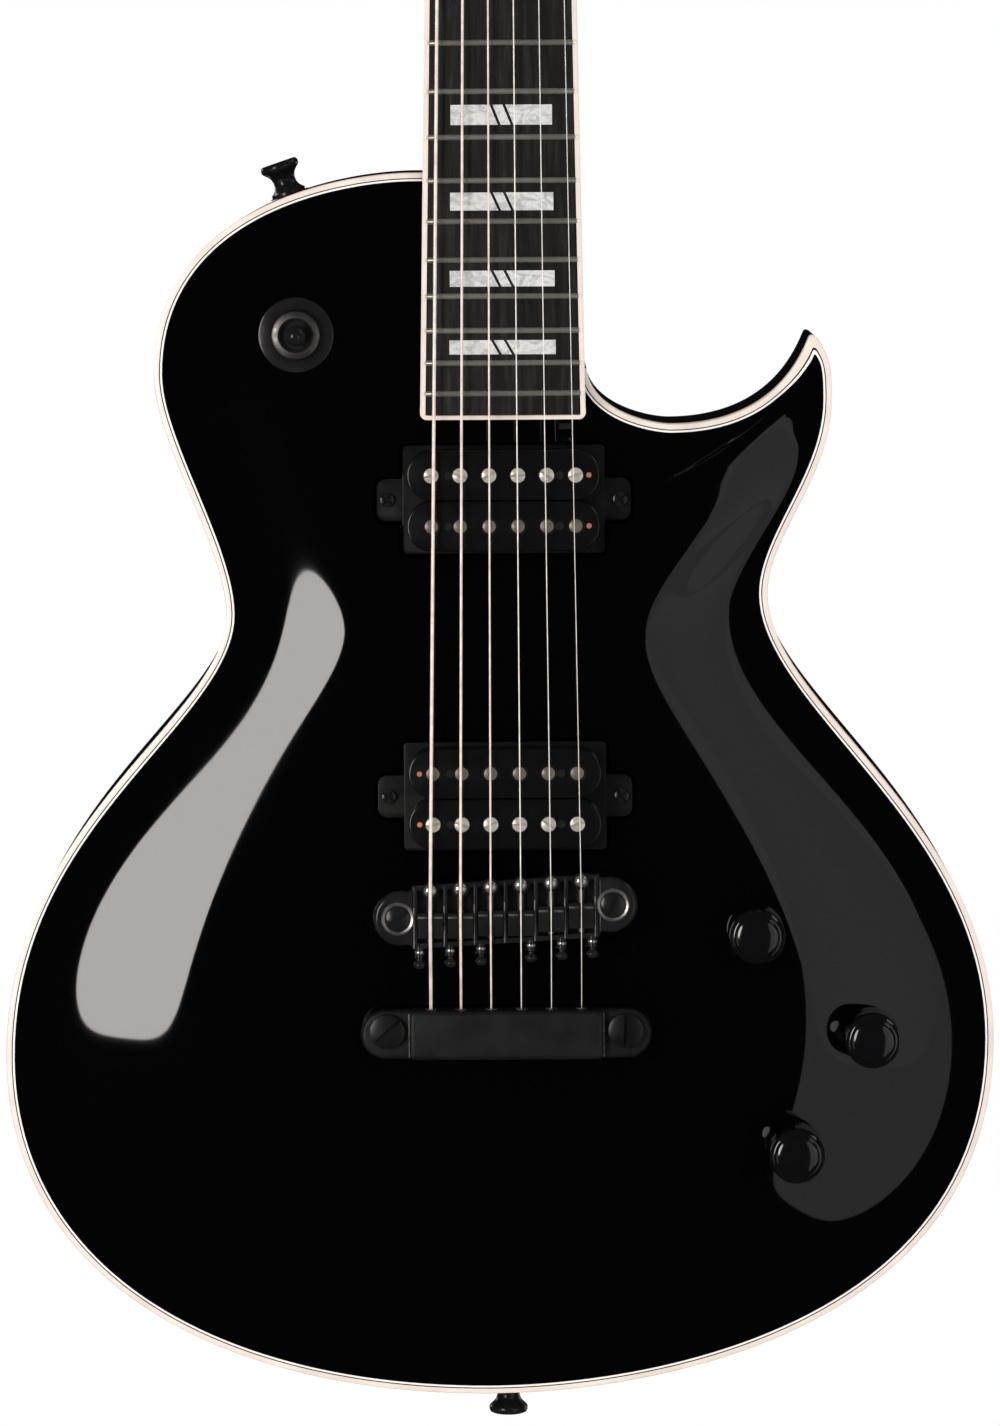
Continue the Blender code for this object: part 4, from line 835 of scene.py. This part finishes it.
board = Shape()
rings = []
for n in range(41):
    d = 0.05 + (BOARD_LENGTH - 1.6 - 0.05) * n / 40
    half = board_half(d) - NECK_EDGING
    ring = [(-half, -0.05, -d)] + [(half * (i / 12 - 1), -board_top(half * (i / 12 - 1)), -d) for i in range(25)]
    rings.append(ring + [(half, -0.05, -d)])
board.skin(rings, BOARD, NECK)
for number in INLAID:
    upper, lower = fret_at(number - 1), fret_at(number)
    centre, tall = (upper + lower) / 2 + 0.2, (lower - upper) * 0.22
    wide = board_half(centre) * 0.65
    # Three parts, each from its left edge's top and foot to its right edge's
    for left_top, left_low, right_top, right_low in ((-wide, -wide, -4.0, -1.2), (-3.0, -0.2, 0.4, 3.2),
                                                     (1.4, 4.2, wide, wide)):
        rings = []
        for part_way in range(9):
            t = part_way / 8
            a, b = left_top + (right_top - left_top) * t, left_low + (right_low - left_low) * t
            rings.append([(a, -board_top(a) - 0.04, -(centre - tall)), (b, -board_top(b) - 0.04, -(centre + tall)),
                          (b, -board_top(b) + 0.3, -(centre + tall)), (a, -board_top(a) + 0.3, -(centre - tall))])
        board.skin(rings, PEARL, NECK)
for number in FRETS:
    d = fret_at(number)
    half = board_half(d) - NECK_EDGING + 0.05
    rings = []
    for n in range(-12, 13):
        x = half * n / 12
        rise = 1.1 if abs(n) < 12 else 0.35
        ring = [(x, -board_top(x) + 0.1, -d - 0.98)]
        ring += [(x, -board_top(x) - rise * sin(pi * k / 8), -d - 0.98 * cos(pi * k / 8)) for k in range(9)]
        rings.append(ring + [(x, -board_top(x) + 0.1, -d + 0.98)])
    board.skin(rings, FRET_METAL, NECK)
board.done("fingerboard", "fingerboard_wood", "fretboard")

edging = Shape()
for side in (-1, 1):
    rings = []
    for n in range(41):
        d = 0.1 + (BOARD_LENGTH - 1.6 - 0.1) * n / 40
        outer, near = side * board_half(d), side * (board_half(d) - NECK_EDGING)
        rings.append([(near, -0.05, -d), (near, -board_top(near), -d), (outer - side * 0.35, -board_top(outer), -d),
                      (outer, -board_top(outer) + 0.4, -d), (outer, -0.05, -d)])
    edging.skin(rings, CREAM, NECK)
    for number in FRETS:
        d = fret_at(number)
        x = side * (board_half(d) - 0.95)
        edging.turn(((0, 0.55), (0.45, 0.4), (0.6, 0.0), (0, -0.3)), CREAM,
                    at(NECK, x, -board_top(x), -d, TO_VIEWER), 16)
end, half = BOARD_LENGTH, BOARD_END_HALF
corner = []
for i in range(9):
    a = pi / 2 * i / 8
    corner.append((half - 2.4 + 2.4 * cos(a), -(end - 2.4 + 2.4 * sin(a))))
ring = [(half, -(end - 4))] + corner + [(-x, z) for x, z in reversed(corner)] + [(-half, -(end - 4))]
near = half - NECK_EDGING
ring += [(-near, -(end - 4)), (-near, -(end - 2.2)), (0.6 - near, -(end - 1.6)), (near - 0.6, -(end - 1.6)),
         (near, -(end - 2.2)), (near, -(end - 4))]
rings = [[(x, -0.05, z) for x, z in ring], [(x, -board_top(x) + 0.25, z) for x, z in ring],
         [(x, -board_top(x), z) for x, z in shifted(ring, -0.2)]]
edging.skin(rings, CREAM, NECK)
for number in INLAID[1:]:
    d = (fret_at(number - 1) + fret_at(number)) / 2
    for offset in (-4, 4) if number == 12 else (0,):
        edging.turn(((0, 0.03), (1.1, 0.03), (1.15, -0.2)), BLACK_LINE,
                    at(NECK, -board_half(d + offset), -2.6, -d - offset, (0, -90, 0)), 20)
edging.done("fingerboard_edging", "cream_binding", "fretboard_binding")
top_nut = Shape().box((-21.0, -8.0, 0.15), (21.0, -0.1, 4.5), BONE, NECK, 0.5)
top_nut.done("string_nut", "nut_bone", "nut")


# ---- Headstock fittings ----
def worm_axis(x, z, sign):
    """Frame of the worm beside a post, which points out to the button."""
    return at(HEAD, x, HEAD_THICK + 5.4, z + 6.0, (0, sign * 90, 0))


shield = [(-4.0, 9.0), (-9.5, 12.0), (-10.5, 18.0), (-7.5, 28.0), (-4.5, 36.0), (0.0, 41.0), (4.5, 36.0),
          (7.5, 28.0), (10.5, 18.0), (9.5, 12.0), (4.0, 9.0)]
cover = Shape().prism(shield, 1.9, 0.05, COVER, HEAD, 0.4)
for x, z in ((0.0, 35.5), (-6.0, 14.0), (6.0, 14.0)):
    cover.screw(at(HEAD, x, -1.8, z, TO_VIEWER), 1.5, 0.8, DULL_STEEL, 25 + x * 9, cross=True)
cover.done("truss_cover", "cover_plastic", "truss_rod_cover")
for side, sign in (("bass", -1), ("treble", 1)):
    housing = Shape()
    for x, z in POSTS:
        if x * sign < 0:
            continue
        low, high = sorted((x - sign * 6.6, x + sign * 10.0))
        housing.box((low, HEAD_THICK + 0.2, z - 6.6), (high, HEAD_THICK + 10.4, z + 10.4), GLOSS, HEAD, 2.0)
        lip_low, lip_high = sorted((x - sign * 8.2, x + sign * 11.0))
        housing.box((lip_low, HEAD_THICK + 0.15, z - 8.2), (lip_high, HEAD_THICK + 1.5, z + 12.0), GLOSS,
                    HEAD, 0.5)
        housing.turn(((2.3, 9.0), (3.6, 9.0), (3.6, 12.4), (3.2, 12.8), (2.3, 12.8)), GLOSS,
                     worm_axis(x, z, sign), 32)
        front = at(HEAD, x, 0, z, TO_VIEWER)
        housing.turn(((3.3, 0.9), (6.9, 0.9), (7.2, 0.6), (7.2, 0.0), (3.3, 0.0)), GLOSS, front, 40)
        housing.prism([(x + a, z + b) for a, b in circle(6.3, 6)], 2.2, 0.8, GLOSS, HEAD, 0.3)
        housing.turn(((3.2, 2.4), (4.6, 2.4), (4.9, 2.0)), GLOSS, front, 32)
    housing.done(f"tuner_housings_{side}", "black_hardware", f"tuner_plate_{side}")
for i, (x, z) in enumerate(POSTS, 1):
    sign = 1 if x > 0 else -1
    post = Shape()
    post.turn(((0, 9.0), (2.3, 9.0), (2.9, 8.6), (3.0, 7.9), (2.7, 6.6), (2.45, 5.4), (2.45, 4.2), (2.7, 2.9),
               (3.0, 2.0), (3.0, -15.0), (3.9, -15.0), (3.9, -22.0), (0, -22.0)), GLOSS,
              at(HEAD, x, 0, z, TO_VIEWER), 32)
    # Painted shade: a dark disc in the post's string hole
    post.turn(((0, 2.75), (0.7, 2.75), (0.75, 2.2)), PAINTED_SHADE, at(HEAD, x, -5.2, z, (0, -sign * 90, 0)), 16)
    post.done(f"string_post_{i}", "black_hardware", f"tuner_post_{i}", f"tuner_post_{i}")
    key = Shape()
    worm = worm_axis(x, z, sign)
    key.turn(((3.0, 20.4), (2.1, 20.0), (2.1, 12.0), (2.1, 3.0), (1.7, 3.0), (1.7, -3.4), (0, -3.4)),
             GLOSS, worm, 24)
    grip = ((0, 33.0), (1.8, 32.9), (3.4, 32.4), (4.6, 31.3), (5.15, 29.6), (5.15, 27.6), (4.7, 25.6),
            (4.0, 23.6), (3.5, 22.0), (3.2, 21.0), (2.9, 20.4), (0, 20.4))
    key.turn(grip, GLOSS, worm, 40, 0.62)
    key.done(f"tuner_key_{i}", "black_hardware", f"tuner_button_{i}", f"tuner_button_{i}")


# ---- Strings ----
def tube(shape, points, radius, look, sides=12):
    """Round wire along points, kept from twisting."""
    up = Vector((1, 0, 0))
    rows = []
    for i, p in enumerate(points):
        way = (points[min(i + 1, len(points) - 1)] - points[max(i - 1, 0)]).normalized()
        up = (up - way * up.dot(way)).normalized()
        across = way.cross(up)
        rows.append([p + radius * (up * a + across * b) for a, b in circle(1, sides)])
    return shape.skin(rows, look)


def in_mm(place, x, y, z):
    """World place in millimetres of a point in a frame."""
    return (place @ (Vector((x, y, z)) * MM)) / MM


NUT_SPACING, NUT_HIGH = 7.0, 7.6
for i, radius in enumerate(STRING_RADII):
    x, nut_x = STRING_X[i], (i - 2.5) * NUT_SPACING
    knots = [in_mm(DECK, x, -8.0, TAIL_Z - 6.0), in_mm(DECK, x, -8.0, TAIL_Z + 8.6),
             in_mm(DECK, x, -STRING_HIGH, BREAK_Z[i]),
             in_mm(NECK, nut_x, -NUT_HIGH, 0.0), in_mm(NECK, nut_x, -NUT_HIGH, 4.5)]
    post_x, post_z = POSTS[i]
    sign = 1 if post_x > 0 else -1
    reach = 3.0 + radius + 0.25
    for step in range(64):
        a = radians(-10 + 15 * step)
        knots.append(in_mm(HEAD, post_x - sign * reach * cos(a), -6.6 + 2 * radius * step / 24 * 1.02,
                           post_z + reach * sin(a)))
    points = [knots[0]]
    for p, q in zip(knots, knots[1:]):
        count = max(1, ceil((q - p).length / 12.0))
        points += [p + (q - p) * n / count for n in range(1, count + 1)]
    look = WOUND[i] if i < len(WOUND) else PLAIN
    tube(Shape(), points, radius, look).done(f"music_wire_{i + 1}", "string_steel", f"string_{i + 1}")

# ---- What stays of the CAD model: the three potentiometers, inside the body ----
for i in range(1, 4):
    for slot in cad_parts[f"pot_{i}"].material_slots:
        slot.material = STEEL.material

# ---- Floor, light and camera ----
FLOOR_Z = -1.35
floor_mesh = bpy.data.meshes.new("floor")
floor_mesh.from_pydata([(x, y, FLOOR_Z) for x, y in ((-4, -4), (4, -4), (4, 4), (-4, 4))], [], [(0, 1, 2, 3)])
floor = bpy.data.objects.new("floor", floor_mesh)
scene.collection.objects.link(floor)
FLOOR = Look("pale floor", (0.82, 0.82, 0.81), 0.8)
# Pale under the guitar, fading into the white round about
fade = FLOOR.new("ShaderNodeTexGradient")
fade.gradient_type = "SPHERICAL"
FLOOR.link(FLOOR.place((0.3, 0.3, 0.3)), fade.inputs["Vector"])
FLOOR.colour(fade.outputs["Fac"], (0.2, 0.0), (0.45, 0.82))
FLOOR.set(Emission_Color=(1, 1, 1, 1))
FLOOR.link(FLOOR.ramp(fade.outputs["Fac"], (0.2, 1.0), (0.45, 0.0)), FLOOR.shader.inputs["Emission Strength"])
floor_mesh.materials.append(FLOOR.material)
floor.visible_glossy = False
floor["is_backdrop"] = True

world = bpy.data.worlds.new("studio")
scene.world = world
world.use_nodes = True
nodes, links = world.node_tree.nodes, world.node_tree.links
nodes.clear()
# White all round, but dark in reflections, so that only the lamps show in the lacquer
paths, out = nodes.new("ShaderNodeLightPath"), nodes.new("ShaderNodeOutputWorld")
bright, dim = nodes.new("ShaderNodeBackground"), nodes.new("ShaderNodeBackground")
mix = nodes.new("ShaderNodeMixShader")
bright.inputs["Color"].default_value = (1, 1, 1, 1)
dim.inputs["Color"].default_value = (0.004, 0.004, 0.0042, 1)
links.new(paths.outputs["Is Glossy Ray"], mix.inputs["Fac"])
links.new(bright.outputs[0], mix.inputs[1])
links.new(dim.outputs[0], mix.inputs[2])
links.new(mix.outputs[0], out.inputs["Surface"])


def softbox(name, place, aim, size, radiance, shape="RECTANGLE", colour=(1, 1, 1), lean=0.0):
    """Area light of a given radiance, unseen by the camera; lean turns it on its axis, in degrees."""
    lamp = bpy.data.lights.new(name, "AREA")
    lamp.shape = shape
    lamp.color = colour
    lamp.size, lamp.size_y = size
    area = size[0] * size[1] * (pi / 4 if shape == "ELLIPSE" else 1)
    lamp.energy = radiance * pi * area
    light = bpy.data.objects.new(name, lamp)
    scene.collection.objects.link(light)
    light.location = place
    facing = (Vector(aim) - Vector(place)).to_track_quat("-Z", "Y").to_matrix()
    light.rotation_euler = (facing @ Matrix.Rotation(radians(lean), 3, "Z")).to_euler()
    light.visible_camera = False


# Four lamps in front, whose mirror images are the long highlights on the carved top
softbox("left_box", (-1.06, -1.5, -0.42), (-1.06, 0, -0.42), (0.71, 0.99), 8.0, "ELLIPSE", (1.0, 0.955, 0.92), 27)
softbox("right_box", (0.86, -1.5, -0.95), (0.86, 0, -0.95), (0.5, 1.7), 0.4, "ELLIPSE")
softbox("right_side_box", (1.7, -1.5, -0.95), (1.7, 0, -0.95), (1.34, 1.4), 0.5)
softbox("right_top_box", (1.03, -1.5, -0.5), (1.03, 0, -0.5), (0.88, 1.1), 0.5, "ELLIPSE")
# Lamps for the sides and the back
BODY_MIDDLE = (0, 0, -0.5)
softbox("rear_left", (-1.6, 1.8, 0.2), BODY_MIDDLE, (0.5, 1.8), 3.0)
softbox("rear_right", (1.9, 1.7, -0.9), BODY_MIDDLE, (1.2, 1.6), 1.0)
softbox("low_left", (-1.7, -1.3, -1.2), BODY_MIDDLE, (0.9, 0.9), 0.5)
softbox("side_right", (1.9, 0.0, 0.9), BODY_MIDDLE, (1.4, 0.7), 1.0)

lens = bpy.data.cameras.new("camera")
lens.lens, lens.sensor_width = 152.2, 36.0
lens.shift_y = -0.12
camera = bpy.data.objects.new("camera", lens)
scene.collection.objects.link(camera)
camera.location = (-0.0003, -2.0975, -0.335)
camera.rotation_euler = (radians(90 - 4.63), radians(0.33), 0)
scene.camera = camera
scene.view_settings.view_transform = "Standard"

low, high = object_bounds()
{"cad": [list(cad_low), list(cad_high)], "visual": [list(low), list(high)]}
